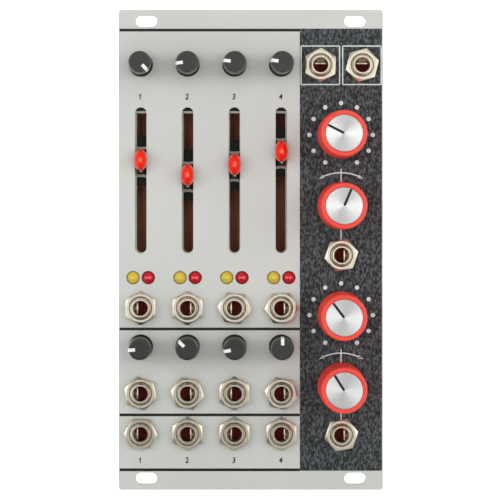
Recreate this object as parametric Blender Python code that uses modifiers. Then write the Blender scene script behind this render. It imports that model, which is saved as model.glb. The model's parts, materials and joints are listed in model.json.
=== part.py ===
"""A 14 HP rack module for a modular synthesizer: a four channel mixer with lit faders, knobs and jacks.

The module is drawn as it would lie on a bench, face up: X to the right, Y up the panel and Z out of its
front, with Z zero on the panel's rear face and Y zero at mid height. An empty then stands it up, so that
the front faces -Y and the origin lies on the panel's rear face, on the lower rail's screw line.
"""
import math

import bmesh
import bpy
from mathutils import Matrix, Vector

# Fits and overruns
FIT = 0.0003                 # clearance left between pieces that touch on the real module
SINK = 0.0004                # how far a joined boss is sunk in the piece that carries it
OVERRUN = 0.002              # how far a cutter runs past what it cuts
MERGE = 0.00001

# Front panel, on the 3U rack standard
PANEL_WIDTH = 0.0708
PANEL_HEIGHT = 0.1285
PANEL_THICK = 0.0020
PANEL_CORNER = 0.0008
SLOT_LENGTH = 0.0058
SLOT_WIDTH = 0.0032
SLOT_SIDE_INSET = 0.00746    # panel's side edge to a mounting slot's middle
SLOT_END_INSET = 0.0030      # panel's upper or lower edge to a mounting slot's middle
RAIL_PITCH = PANEL_HEIGHT - 2 * SLOT_END_INSET

# Layout of the face: distances from the panel's middle, as shares of its width and of its height
CHANNELS = 4
CHANNEL_PITCH_SHARE = 0.17712
COLUMN_NAMES = ("first_channel", "left_output", "side", "right_output")
COLUMN_SHARES = (-0.41596, 0.26299, 0.34153, 0.42034)
CHANNEL_ROWS = ("gain", "fader", "led", "level_jack", "pan", "pan_jack", "input_jack")
CHANNEL_ROW_SHARES = (0.38599, 0.14482, -0.05805, -0.12109, -0.20179, -0.29883, -0.38288)
SIDE_ROWS = ("output", "width", "width_cv", "width_jack", "center", "center_cv", "center_jack")
SIDE_ROW_SHARES = (0.38428, 0.23930, 0.09160, -0.01105, -0.13619, -0.28405, -0.38482)
SPACER_ROWS = ("upper_spacer", "lower_spacer")
SPACER_ROW_SHARES = (0.29572, -0.38911)
CHANNEL_PITCH = PANEL_WIDTH * CHANNEL_PITCH_SHARE
COLUMNS = {name: PANEL_WIDTH * share for name, share in zip(COLUMN_NAMES, COLUMN_SHARES)}
ROWS = {name: PANEL_HEIGHT * share
        for name, share in zip(CHANNEL_ROWS + SIDE_ROWS + SPACER_ROWS,
                               CHANNEL_ROW_SHARES + SIDE_ROW_SHARES + SPACER_ROW_SHARES)}
LED_OFFSET = 0.00203         # each LED's middle from its channel's middle

# Circuit boards, behind the panel
PANEL_TO_BOARD = 0.0100
BOARD_THICK = 0.0016
BOARD_SIDE_INSET = 0.0008    # panel's side edge to the boards' edge
BOARD_END_INSET = 0.00925    # panel's upper or lower edge to the boards' edge
BOARD_WIDTH = PANEL_WIDTH - 2 * BOARD_SIDE_INSET
BOARD_HEIGHT = PANEL_HEIGHT - 2 * BOARD_END_INSET
BOARD_CORNER = 0.0012
BOARD_GAP = 0.0110
SPACER_HOLE = 0.0032
CONTROL_FRONT = -PANEL_TO_BOARD
CONTROL_REAR = CONTROL_FRONT - BOARD_THICK
MAIN_FRONT = CONTROL_REAR - BOARD_GAP
MAIN_REAR = MAIN_FRONT - BOARD_THICK

# Jacks
JACK_WIDTH = 0.0090
JACK_ROW_GAP = 0.0003        # between the bodies of the two lowest rows
JACK_TALL = ROWS["pan_jack"] - ROWS["input_jack"] - JACK_ROW_GAP
BARREL = 0.0060
BARREL_RISE = 0.0026         # above the panel's face
BARREL_CHAMFER = 0.0006
BORE = 0.00384
BORE_MOUTH = 0.0046
BORE_DEPTH = 0.0110
BARREL_HOLE_GAP = 0.00025
NUT_FLATS = 0.0080
NUT_THICK = 0.0018

# Small pots with one-piece shaft knobs
POT_SIDE_GAP = 0.00304       # between the pots of neighbouring channels
POT_ROW_GAP = 0.00037        # between a pan pot and the jack above it
SMALL_POT_WIDTH = CHANNEL_PITCH - POT_SIDE_GAP
SMALL_POT_TALL = 2 * (ROWS["level_jack"] - ROWS["pan"] - JACK_TALL / 2 - POT_ROW_GAP)
SMALL_POT_DEPTH = 0.0056
SMALL_SHAFT = 0.0030
SHAFT_REACH = 0.0030         # how deep a shaft goes in its pot
SMALL_KNOB_BASE = 0.0066     # at its foot, behind the panel
SMALL_KNOB_SHOULDER = 0.0061
SMALL_KNOB_TOP = 0.0056
SMALL_KNOB_RISE = 0.0120     # above the panel's face
SMALL_CONE_RISE = 0.0040     # of the cone above the shoulder
SMALL_BEVEL = 0.00015
SMALL_HOLE_GAP = 0.0001      # round the knob's foot, if that stood in the hole
POINTER_WIDTH = 0.00088
POINTER_DEPTH = 0.0003
SMALL_POINTER_START = 0.0011

# Large pots, with their own red knobs
LARGE_POT_WIDTH = 0.0095
LARGE_POT_TALL = 0.0110
LARGE_POT_DEPTH = 0.0066
COLLAR = 0.0070
COLLAR_RISE = 0.0010
LARGE_SHAFT = 0.0060
KNOB_BASE_SHARE = 0.9499     # of the way from the lowest red knob to the jack under it
KNOB_BASE = (ROWS["center_cv"] - ROWS["center_jack"]) * KNOB_BASE_SHARE
KNOB_TAPER = 0.0002
KNOB_TOP = KNOB_BASE - KNOB_TAPER
KNOB_RISE = 0.0150
KNOB_LIFT = 0.0008           # gap under the knob's skirt
KNOB_RIM = 0.0005
KNOB_RIBS = 24
RIB_DEPTH = 0.0003
CAP_INSET = 0.001275         # knob's foot to the cap's edge
CAP_WIDTH = KNOB_BASE - 2 * CAP_INSET
CAP_THICK = 0.0010
CAP_DISH = 0.0002
CAP_POINTER_WIDTH = 0.0007
CAP_POINTER_DEPTH = 0.0003

# Slide faders
FRAME_ROW_GAP = 0.01226      # both ends together, from the frame to the gain and LED rows
FRAME_LENGTH = ROWS["gain"] - ROWS["led"] - FRAME_ROW_GAP
SLOT_OVERLAP = 0.0057        # how much longer the frame is than the panel's slot
FADER_SLOT_LENGTH = FRAME_LENGTH - SLOT_OVERLAP
FADER_SLOT_WIDTH = 0.0031
FRAME_WIDTH = 0.0086
FRAME_DEPTH = 0.0066
FRAME_SHEET = 0.0005
FRAME_MOUTH = 0.0036
MOUTH_UPPER_STEP = 0.0015    # from the panel slot's upper end in to the mouth's
MOUTH_LOWER_STEP = 0.0003    # from the panel slot's lower end in to the mouth's
CARRIAGE_LENGTH = 0.0080
CARRIAGE_DEPTH = 0.0044
NECK_LENGTH = 0.0046
NECK_RISE = 0.0010           # above the panel's face
SHIELD_LENGTH = 0.0128
SHIELD_WIDTH = 0.0050
SHIELD_THICK = 0.0005
SHIELD_DROP = 0.0012         # below the panel's rear face
LENS_LENGTH = 0.0056
LENS_WIDTH = 0.0035
LENS_RISE = 0.0034
LENS_FOOT = 0.0010

# Indicator LEDs
LED_BODY = 0.0030
LED_FLANGE = 0.0036
LED_FLANGE_THICK = 0.0010
LED_LENGTH = 0.0053
LED_RISE = 0.0006            # above the panel's face
LED_LEG = 0.0005
LED_LEG_PITCH = 0.0018

# Spacers and connectors
SPACER_FLATS = 0.0050
SPACER_PIN = 0.0026
SCREW_HEAD = 0.0050
SCREW_HEAD_RISE = 0.0018
SOCKET_LENGTH = 0.0254
SOCKET_WIDTH = 0.0050
SOCKET_INSET = 0.0050        # board's side edge to the socket's middle
SOCKET_COLUMN = BOARD_WIDTH / 2 - SOCKET_INSET
SOCKET_ROW = 0.0180
CHIP_WIDTH = 0.0040
CHIP_LENGTH = 0.0087
CHIP_HEIGHT = 0.0015
CHIP_COLUMN = 0.0165
CHIP_COLUMNS = 3
CHIP_ROWS = 4
CAPACITOR_WIDTH = 0.0063
CAPACITOR_HEIGHT = 0.0077
CAPACITOR_COLUMN = 0.0220
HEADER_LENGTH = 0.0280
HEADER_WIDTH = 0.0089
HEADER_HEIGHT = 0.0090
HEADER_WALL = 0.0012
HEADER_FLOOR = 0.0022
HEADER_KEY = 0.0045
HEADER_TO_SPACER = 0.0100    # header's middle to the lower spacers
HEADER_ROW = ROWS["lower_spacer"] + HEADER_TO_SPACER
CHIP_TO_SPACER = 0.0140      # first row of chips to the upper spacers
CHIP_TO_HEADER = 0.0160      # last row of chips to the header
CHIP_FIRST_ROW = ROWS["upper_spacer"] - CHIP_TO_SPACER
CHIP_ROW_PITCH = (CHIP_FIRST_ROW - HEADER_ROW - CHIP_TO_HEADER) / (CHIP_ROWS - 1)
PIN_WIDTH = 0.00064
PIN_PITCH = 0.00254
PIN_HEIGHT = 0.0060
PIN_COLUMNS = 8

# Facet counts
FINE = 20
MEDIUM = 14
COARSE = 10
SMALL = 8

# Pointer angles, clockwise from straight up in degrees, as the knobs stand
GAIN_TURNS = (137.0, -98.0, -83.0, -82.0)
PAN_TURNS = (-94.0, -46.0, -101.0, 0.0)
WIDTH_TURN = -63.0
WIDTH_CV_TURN = 23.0
CENTER_TURN = -37.0
CENTER_CV_TURN = -32.0

# Each fader's height above the middle of its slot, as it stands
FADER_STANDS = (0.0054, 0.0014, 0.0042, 0.0077)

# How each jack's nut was left when it was tightened, in degrees
LEVEL_NUT_TURNS = (0.0, 0.0, 36.0, 28.0)
PAN_NUT_TURNS = (48.0, 39.0, 0.0, 40.0)
INPUT_NUT_TURNS = (32.0, 0.0, 0.0, 0.0)
LEFT_NUT_TURN = 2.0
RIGHT_NUT_TURN = 14.0
CV_NUT_TURN = 19.0


def channel_x(index):
    """The place across the panel of a channel's column."""
    return COLUMNS["first_channel"] + CHANNEL_PITCH * index


# Scene, collections and materials

def clear_scene():
    """Remove the objects of a new file."""
    for old in list(bpy.data.objects):
        bpy.data.objects.remove(old, do_unlink=True)


def new_collection(name):
    """Make a collection in the scene."""
    made = bpy.data.collections.new(name)
    bpy.context.scene.collection.children.link(made)
    return made


def new_material(name, colour, roughness, metallic=0.0):
    """Make a plain finish with its colour, roughness and metallic value."""
    made = bpy.data.materials.new(name)
    made.use_nodes = True
    shader = made.node_tree.nodes["Principled BSDF"]
    shader.inputs["Base Color"].default_value = (*colour, 1.0)
    shader.inputs["Roughness"].default_value = roughness
    shader.inputs["Metallic"].default_value = metallic
    return made


# Shapes that the pieces are made of

def add_mesh(name, mesh, home, finish=None, place=(0, 0, 0), turn=0.0):
    """Put a mesh in a collection, at its place and turned clockwise as seen from the front."""
    piece = bpy.data.objects.new(name, mesh)
    home.objects.link(piece)
    piece.location = place
    piece.rotation_euler = (0, 0, -math.radians(turn))
    if finish is not None:
        piece.data.materials.append(finish)
    return piece


def tool(name, mesh, place=(0, 0, 0), turn=0.0):
    """A shape that cuts or joins another one, and is no piece itself."""
    piece = add_mesh(name, mesh, tools, None, place, turn)
    piece.hide_render = True
    piece.display_type = "WIRE"
    return piece


def block_mesh(name, size, low_z=0.0, centre=(0, 0)):
    """A box of a size, standing on a height."""
    mesh = bpy.data.meshes.new(name)
    shape = bmesh.new()
    bmesh.ops.create_cube(shape, size=1.0)
    bmesh.ops.scale(shape, vec=Vector(size), verts=shape.verts)
    middle = Vector((centre[0], centre[1], low_z + size[2] / 2))
    bmesh.ops.translate(shape, vec=middle, verts=shape.verts)
    shape.to_mesh(mesh)
    shape.free()
    return mesh


def round_mesh(name, width, low_z, high_z, sides, top_width=None):
    """A cylinder or cone along Z between two heights."""
    mesh = bpy.data.meshes.new(name)
    shape = bmesh.new()
    top = width if top_width is None else top_width
    bmesh.ops.create_cone(shape, cap_ends=True, segments=sides, radius1=width / 2, radius2=top / 2,
                          depth=high_z - low_z)
    bmesh.ops.translate(shape, vec=Vector((0, 0, (low_z + high_z) / 2)), verts=shape.verts)
    shape.to_mesh(mesh)
    shape.free()
    return mesh


def hex_mesh(name, flats, low_z, high_z):
    """A hexagonal nut or spacer between two heights, with a corner at the top."""
    corners = flats / math.cos(math.radians(30))
    mesh = bpy.data.meshes.new(name)
    shape = bmesh.new()
    bmesh.ops.create_cone(shape, cap_ends=True, segments=6, radius1=corners / 2, radius2=corners / 2,
                          depth=high_z - low_z)
    bmesh.ops.translate(shape, vec=Vector((0, 0, (low_z + high_z) / 2)), verts=shape.verts)
    bmesh.ops.rotate(shape, cent=(0, 0, 0), matrix=Matrix.Rotation(math.radians(30), 3, "Z"),
                     verts=shape.verts)
    shape.to_mesh(mesh)
    shape.free()
    return mesh


def turned(name, profile, sides, home=None, finish=None, place=(0, 0, 0), turn=0.0):
    """A solid of revolution about Z, from (radius, height) points that run down its outer side."""
    mesh = bpy.data.meshes.new(name)
    points = [(radius, 0, height) for radius, height in profile]
    mesh.from_pydata(points, [(i, i + 1) for i in range(len(points) - 1)], [])
    if home is None:
        piece = tool(name, mesh, place, turn)
    else:
        piece = add_mesh(name, mesh, home, finish, place, turn)
    spin = piece.modifiers.new("turn", "SCREW")
    spin.axis = "Z"
    spin.angle = 2 * math.pi
    spin.steps = sides
    spin.render_steps = sides
    spin.use_merge_vertices = True
    spin.merge_threshold = MERGE
    spin.use_normal_calculate = True
    return piece


def circle_points(width, sides, centre=(0, 0)):
    """Points round a circle."""
    radius = width / 2
    return [(centre[0] + radius * math.cos(2 * math.pi * i / sides),
             centre[1] + radius * math.sin(2 * math.pi * i / sides)) for i in range(sides)]


def slot_points(size_x, size_y, sides, centre=(0, 0)):
    """Points round a slot with full round ends, along X or along Y."""
    radius = min(size_x, size_y) / 2
    reach_x, reach_y = size_x / 2 - radius, size_y / 2 - radius
    points = []
    for step in range(sides):
        angle = 2 * math.pi * (step + 1 / 2) / sides
        cosine, sine = math.cos(angle), math.sin(angle)
        points.append((centre[0] + radius * cosine + math.copysign(reach_x, cosine),
                       centre[1] + radius * sine + math.copysign(reach_y, sine)))
    return points


def rounded_points(size_x, size_y, corner, steps=3):
    """Points round a rectangle with rounded corners."""
    points = []
    for quarter in range(4):
        side_x = 1 if quarter in (0, 3) else -1
        side_y = 1 if quarter in (0, 1) else -1
        for step in range(steps + 1):
            angle = math.radians(90 * (quarter + step / steps))
            points.append((side_x * (size_x / 2 - corner) + corner * math.cos(angle),
                           side_y * (size_y / 2 - corner) + corner * math.sin(angle)))
    return points


def plate_mesh(name, outlines, low_z, thick):
    """A flat plate from closed outlines, the first its edge and the rest holes, as a welded mesh."""
    curve = bpy.data.curves.new(name, "CURVE")
    curve.dimensions = "2D"
    curve.fill_mode = "BOTH"
    curve.extrude = thick / 2
    for outline in outlines:
        line = curve.splines.new("POLY")
        line.points.add(len(outline) - 1)
        for point, place in zip(line.points, outline):
            point.co = Vector(place).to_4d()
        line.use_cyclic_u = True
    holder = bpy.data.objects.new(name, curve)
    tools.objects.link(holder)
    bpy.context.view_layer.update()
    evaluated = holder.evaluated_get(bpy.context.evaluated_depsgraph_get())
    mesh = bpy.data.meshes.new_from_object(evaluated)
    bpy.data.objects.remove(holder)
    shape = bmesh.new()
    shape.from_mesh(mesh)
    bmesh.ops.remove_doubles(shape, verts=shape.verts, dist=MERGE)
    bmesh.ops.translate(shape, vec=Vector((0, 0, low_z + thick / 2)), verts=shape.verts)
    bmesh.ops.recalc_face_normals(shape, faces=shape.faces)
    shape.to_mesh(mesh)
    shape.free()
    return mesh


def boolean(piece, other, operation):
    """Join a tool to a piece or cut it away."""
    step = piece.modifiers.new(operation.lower(), "BOOLEAN")
    step.operation = operation
    step.solver = "EXACT"
    step.object = other


def join(piece, *others):
    """Join tools to a piece, so that they are one body."""
    for other in others:
        boolean(piece, other, "UNION")


def cut(piece, *others):
    """Cut tools out of a piece."""
    for other in others:
        boolean(piece, other, "DIFFERENCE")


def cut_all(piece, collection, operation="DIFFERENCE"):
    """Cut or join every tool of a collection."""
    step = piece.modifiers.new(operation.lower(), "BOOLEAN")
    step.operation = operation
    step.solver = "EXACT"
    step.operand_type = "COLLECTION"
    step.collection = collection


# Where things stand on the face

def jack_table():
    """Each jack's name, place across and up the panel, and nut turn."""
    rows = []
    for i in range(CHANNELS):
        rows.append((f"level_cv_jack_{i + 1}", channel_x(i), ROWS["level_jack"], LEVEL_NUT_TURNS[i]))
        rows.append((f"pan_cv_jack_{i + 1}", channel_x(i), ROWS["pan_jack"], PAN_NUT_TURNS[i]))
        rows.append((f"input_jack_{i + 1}", channel_x(i), ROWS["input_jack"], INPUT_NUT_TURNS[i]))
    rows.append(("left_output_jack", COLUMNS["left_output"], ROWS["output"], LEFT_NUT_TURN))
    rows.append(("right_output_jack", COLUMNS["right_output"], ROWS["output"], RIGHT_NUT_TURN))
    rows.append(("width_cv_jack", COLUMNS["side"], ROWS["width_jack"], CV_NUT_TURN))
    rows.append(("center_cv_jack", COLUMNS["side"], ROWS["center_jack"], CV_NUT_TURN))
    return rows


def small_knob_table():
    """Each small knob's name, place and pointer angle."""
    rows = []
    for i in range(CHANNELS):
        rows.append((f"gain_knob_{i + 1}", channel_x(i), ROWS["gain"], GAIN_TURNS[i]))
        rows.append((f"pan_knob_{i + 1}", channel_x(i), ROWS["pan"], PAN_TURNS[i]))
    return rows


def large_knob_table():
    """Each red knob's name, height on the panel and pointer angle."""
    return [("width_knob", ROWS["width"], WIDTH_TURN),
            ("width_cv_knob", ROWS["width_cv"], WIDTH_CV_TURN),
            ("center_knob", ROWS["center"], CENTER_TURN),
            ("center_cv_knob", ROWS["center_cv"], CENTER_CV_TURN)]


def led_table():
    """Each LED's name and place: yellow at the left of its channel, red at the right."""
    rows = []
    for i in range(CHANNELS):
        rows.append((f"signal_led_{i + 1}", channel_x(i) - LED_OFFSET, "yellow"))
        rows.append((f"peak_led_{i + 1}", channel_x(i) + LED_OFFSET, "red"))
    return rows


def spacer_places():
    """The four gaps between the components where the spacers stand."""
    left = channel_x(1 / 2)
    right = (channel_x(CHANNELS - 1) + COLUMNS["side"]) / 2
    return [(x, y) for y in (ROWS["upper_spacer"], ROWS["lower_spacer"]) for x in (left, right)]


# Front panel

def build_front_panel():
    """The plate with its mounting slots, fader slots and round holes."""
    slot_x = PANEL_WIDTH / 2 - SLOT_SIDE_INSET
    outlines = [rounded_points(PANEL_WIDTH, PANEL_HEIGHT, PANEL_CORNER)]
    for side_x in (-1, 1):
        for side_y in (-1, 1):
            centre = (slot_x * side_x, RAIL_PITCH / 2 * side_y)
            outlines.append(slot_points(SLOT_LENGTH, SLOT_WIDTH, 2 * SMALL, centre))
    for i in range(CHANNELS):
        place = (channel_x(i), ROWS["fader"])
        outlines.append(slot_points(FADER_SLOT_WIDTH, FADER_SLOT_LENGTH, COARSE, place))
    for _, x, y, _ in jack_table():
        outlines.append(circle_points(BARREL + 2 * BARREL_HOLE_GAP, MEDIUM, (x, y)))
    for _, x, y, _ in small_knob_table():
        outlines.append(circle_points(SMALL_KNOB_BASE + 2 * SMALL_HOLE_GAP, MEDIUM, (x, y)))
    for _, y, _ in large_knob_table():
        outlines.append(circle_points(LARGE_SHAFT + 2 * FIT, MEDIUM, (COLUMNS["side"], y)))
    for _, x, _ in led_table():
        outlines.append(circle_points(LED_BODY + 2 * FIT, SMALL, (x, ROWS["led"])))
    return add_mesh("front_panel", plate_mesh("front_panel", outlines, 0, PANEL_THICK), parts, aluminium)


# Circuit boards

def board_outlines():
    """A board's edge and its four spacer holes."""
    outlines = [rounded_points(BOARD_WIDTH, BOARD_HEIGHT, BOARD_CORNER, 2)]
    return outlines + [circle_points(SPACER_HOLE, COARSE, place) for place in spacer_places()]


def pot_tool(name, x, y, size, depth, shaft):
    """A pot's housing, as it stands soldered on the control board."""
    top = CONTROL_FRONT + depth
    size_xyz = (size[0], size[1], depth + SINK)
    tool_mesh = block_mesh(name, size_xyz, CONTROL_FRONT - SINK)
    housing = add_mesh(name, tool_mesh, pots, None, (x, y, 0))
    housing.hide_render = True
    housing.display_type = "WIRE"
    bore = tool(name + "_bore", round_mesh(name, shaft + 2 * FIT, top - SHAFT_REACH - FIT,
                                           top + OVERRUN, COARSE), (x, y, 0))
    if shaft == LARGE_SHAFT:
        collar = round_mesh(name, COLLAR + 2 * FIT, top - SINK, top + COLLAR_RISE, MEDIUM)
        join(housing, tool(name + "_collar", collar, (x, y, 0)))
    cut(housing, bore)
    return housing


def build_control_board():
    """The board right behind the panel, with the twelve pots soldered on it."""
    mesh = plate_mesh("control_board", board_outlines(), CONTROL_REAR, BOARD_THICK)
    board = add_mesh("control_board", mesh, parts, solder_mask)
    for name, x, y, _ in small_knob_table():
        pot_tool(name.replace("knob", "pot"), x, y, (SMALL_POT_WIDTH, SMALL_POT_TALL), SMALL_POT_DEPTH,
                 SMALL_SHAFT)
    for name, y, _ in large_knob_table():
        pot_tool(name.replace("knob", "pot"), COLUMNS["side"], y, (LARGE_POT_WIDTH, LARGE_POT_TALL),
                 LARGE_POT_DEPTH, LARGE_SHAFT)
    cut_all(board, pots, "UNION")
    return board


def build_main_board():
    """The rear board, with sockets in front and chips and capacitors behind."""
    mesh = plate_mesh("main_board", board_outlines(), MAIN_REAR, BOARD_THICK)
    board = add_mesh("main_board", mesh, parts, solder_mask)
    socket_size = (SOCKET_WIDTH, SOCKET_LENGTH, BOARD_GAP - FIT + SINK)
    for side_x in (-1, 1):
        for side_y in (-1, 1):
            centre = (SOCKET_COLUMN * side_x, SOCKET_ROW * side_y)
            board_part("socket", block_mesh("socket", socket_size, MAIN_FRONT - SINK, centre))
    chip_size = (CHIP_WIDTH, CHIP_LENGTH, CHIP_HEIGHT + SINK)
    for row in range(CHIP_ROWS):
        for column in range(CHIP_COLUMNS):
            centre = (CHIP_COLUMN * (column - 1), CHIP_FIRST_ROW - CHIP_ROW_PITCH * row)
            board_part("chip", block_mesh("chip", chip_size, MAIN_REAR - CHIP_HEIGHT, centre))
    for side in (-1, 1):
        can = round_mesh("capacitor", CAPACITOR_WIDTH, MAIN_REAR - CAPACITOR_HEIGHT, MAIN_REAR + SINK, COARSE)
        board_part("capacitor", can, (CAPACITOR_COLUMN * side, HEADER_ROW, 0))
    cut_all(board, main_parts, "UNION")
    return board


def board_part(name, mesh, place=(0, 0, 0)):
    """A component that is soldered on the main board, and is one body with it."""
    made = add_mesh(name, mesh, main_parts, None, place)
    made.hide_render = True
    made.display_type = "WIRE"


def build_power_header():
    """The shrouded pin header for the rack's ribbon cable, with its key notch."""
    face = MAIN_REAR - FIT
    shroud = add_mesh("power_header", block_mesh("power_header", (HEADER_LENGTH, HEADER_WIDTH, HEADER_HEIGHT),
                                                 face - HEADER_HEIGHT), parts, black_plastic,
                      (0, HEADER_ROW, 0))
    hollow = (HEADER_LENGTH - 2 * HEADER_WALL, HEADER_WIDTH - 2 * HEADER_WALL, HEADER_HEIGHT)
    cavity = tool("header_cavity", block_mesh("header_cavity", hollow, face - HEADER_FLOOR - HEADER_HEIGHT),
                  (0, HEADER_ROW, 0))
    key = tool("header_key", block_mesh("header_key", (HEADER_KEY, HEADER_WIDTH / 2 + OVERRUN, HEADER_HEIGHT),
                                        face - HEADER_FLOOR - HEADER_HEIGHT),
               (0, HEADER_ROW - HEADER_WIDTH / 2, 0))
    cut(shroud, cavity, key)
    for row in (-1, 1):
        for column in range(PIN_COLUMNS):
            x = PIN_PITCH * (column - (PIN_COLUMNS - 1) / 2)
            y = HEADER_ROW + PIN_PITCH / 2 * row
            low = face - HEADER_FLOOR - PIN_HEIGHT
            pin = block_mesh("header_pin", (PIN_WIDTH, PIN_WIDTH, PIN_HEIGHT + SINK), low, (x, y))
            made = add_mesh("header_pin", pin, header_pins)
            made.hide_render = True
            made.display_type = "WIRE"
    cut_all(shroud, header_pins, "UNION")
    return shroud


def build_spacers():
    """The hexagonal spacers between the boards, each with its pin in front and its screw behind."""
    low = MAIN_FRONT + FIT
    high = CONTROL_REAR - FIT
    pin_radius = SPACER_PIN / 2
    for index, (x, y) in enumerate(spacer_places()):
        body = add_mesh(f"spacer_{index + 1}", hex_mesh("spacer", SPACER_FLATS, low, high), parts, brass,
                        (x, y, 0))
        head_face = MAIN_REAR - FIT
        screw = turned("spacer_screw", [(0, CONTROL_FRONT), (pin_radius, CONTROL_FRONT),
                                        (pin_radius, head_face), (SCREW_HEAD / 2, head_face),
                                        (SCREW_HEAD / 2, head_face - SCREW_HEAD_RISE),
                                        (0, head_face - SCREW_HEAD_RISE)], SMALL, None, None, (x, y, 0))
        join(body, screw)


# Knobs

def build_small_knob(name, x, y, turn):
    """A knob in one piece with its shaft: a slim side, a cone above it, and a groove for its pointer."""
    pot_face = CONTROL_FRONT + SMALL_POT_DEPTH
    top = PANEL_THICK + SMALL_KNOB_RISE
    base, shoulder = SMALL_KNOB_BASE / 2, SMALL_KNOB_SHOULDER / 2
    crown, stem = SMALL_KNOB_TOP / 2, SMALL_SHAFT / 2
    profile = [(0, top), (crown - SMALL_BEVEL, top), (crown, top - SMALL_BEVEL),
               (shoulder, top - SMALL_CONE_RISE), (base, pot_face + FIT), (stem, pot_face + FIT),
               (stem, pot_face - SHAFT_REACH), (0, pot_face - SHAFT_REACH)]
    knob = turned(name, profile, MEDIUM, parts, dark_plastic, (x, y, 0), turn)
    reach = crown + OVERRUN - SMALL_POINTER_START
    groove = block_mesh("pointer", (POINTER_WIDTH, reach, POINTER_DEPTH + OVERRUN), top - POINTER_DEPTH,
                        (0, SMALL_POINTER_START + reach / 2))
    cut(knob, tool("pointer", groove, (x, y, 0), turn))
    return knob


def ribbed_mesh(name, low_z, high_z):
    """The red knob's side: a taper with fine ribs along it, and plain rims below and above."""
    sides = 2 * KNOB_RIBS
    base, crown = KNOB_BASE / 2, KNOB_TOP / 2
    rings = [(base - KNOB_RIM, low_z, 0.0), (base, low_z + KNOB_RIM, RIB_DEPTH),
             (crown, high_z - KNOB_RIM, RIB_DEPTH), (crown - KNOB_RIM, high_z, 0.0)]
    shape = bmesh.new()
    loops = []
    for radius, height, depth in rings:
        loop = []
        for i in range(sides):
            reach = radius - depth * (i % 2)
            angle = 2 * math.pi * i / sides
            loop.append(shape.verts.new((reach * math.cos(angle), reach * math.sin(angle), height)))
        loops.append(loop)
    for lower, upper in zip(loops, loops[1:]):
        for i in range(sides):
            j = (i + 1) % sides
            shape.faces.new((lower[i], lower[j], upper[j], upper[i]))
    shape.faces.new(loops[0][::-1])
    shape.faces.new(loops[-1])
    mesh = bpy.data.meshes.new(name)
    shape.to_mesh(mesh)
    shape.free()
    return mesh


def build_large_knob(name, y, turn):
    """A red knob with its shaft, and the aluminium cap that sits in its top."""
    pot_face = CONTROL_FRONT + LARGE_POT_DEPTH
    low, top = PANEL_THICK + KNOB_LIFT, PANEL_THICK + KNOB_RISE
    place = (COLUMNS["side"], y, 0)
    knob = add_mesh(name, ribbed_mesh(name, low, top), parts, red_plastic, place, turn)
    shaft = round_mesh("shaft", LARGE_SHAFT, pot_face - SHAFT_REACH, low + SINK, MEDIUM)
    join(knob, tool(name + "_shaft", shaft, place, turn))
    seat = top - CAP_THICK - FIT
    recess = round_mesh("recess", CAP_WIDTH + 2 * FIT, seat, top + OVERRUN, FINE)
    cut(knob, tool(name + "_recess", recess, place, turn))
    cap_top = top
    radius = CAP_WIDTH / 2
    profile = [(0, cap_top - CAP_DISH), (radius - KNOB_RIM, cap_top), (radius, cap_top - CAP_DISH),
               (radius, seat + FIT), (0, seat + FIT)]
    cap = turned(name.replace("knob", "cap"), profile, FINE, parts, turned_aluminium, place, turn)
    line = block_mesh("cap_pointer", (CAP_POINTER_WIDTH, radius + OVERRUN, CAP_POINTER_DEPTH + OVERRUN),
                      cap_top - CAP_DISH - CAP_POINTER_DEPTH, (0, (radius + OVERRUN) / 2))
    cut(cap, tool(name + "_pointer", line, place, turn))


# Slide faders

def build_fader(index):
    """A slide fader: sheet steel frame, carriage with its dust shield, and the lit lens on its neck."""
    x, y = channel_x(index), ROWS["fader"]
    number = index + 1
    frame_back = CONTROL_FRONT + FIT
    frame_top = frame_back + FRAME_DEPTH
    frame = add_mesh(f"fader_frame_{number}", block_mesh("fader_frame", (FRAME_WIDTH, FRAME_LENGTH,
                     FRAME_DEPTH), frame_back), parts, steel, (x, y, 0))
    inner = (FRAME_WIDTH - 2 * FRAME_SHEET, FRAME_LENGTH - 2 * FRAME_SHEET, FRAME_DEPTH - 2 * FRAME_SHEET)
    hollow = tool("frame_hollow", block_mesh("frame_hollow", inner, frame_back + FRAME_SHEET),
                  (x, y, 0))
    mouth_length = FADER_SLOT_LENGTH - MOUTH_UPPER_STEP - MOUTH_LOWER_STEP
    mouth_row = (MOUTH_LOWER_STEP - MOUTH_UPPER_STEP) / 2
    mouth_outline = slot_points(FRAME_MOUTH, mouth_length, COARSE, (0, mouth_row))
    mouth = tool("frame_mouth", plate_mesh("frame_mouth", [mouth_outline],
                 frame_top - FRAME_SHEET - SINK, FRAME_DEPTH), (x, y, 0))
    cut(frame, hollow, mouth)

    stand = (x, y + FADER_STANDS[index], 0)
    rail = frame_back + FRAME_SHEET + FIT
    slider_size = (inner[0] - 2 * FIT, CARRIAGE_LENGTH, CARRIAGE_DEPTH)
    carriage = add_mesh(f"fader_carriage_{number}", block_mesh("carriage", slider_size, rail), parts,
                        black_plastic, stand)
    neck_top = PANEL_THICK + NECK_RISE
    neck_width = FADER_SLOT_WIDTH - 2 * FIT
    neck_outline = slot_points(neck_width, NECK_LENGTH, COARSE)
    neck_low = rail + CARRIAGE_DEPTH - SINK
    neck = tool("neck", plate_mesh("neck", [neck_outline], neck_low, neck_top - neck_low), stand)
    shield = tool("shield", block_mesh("shield", (SHIELD_WIDTH, SHIELD_LENGTH, SHIELD_THICK),
                                       -SHIELD_DROP - SHIELD_THICK), stand)
    join(carriage, neck, shield)

    build_lens(f"fader_lens_{number}", stand, neck_top + FIT)


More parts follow.
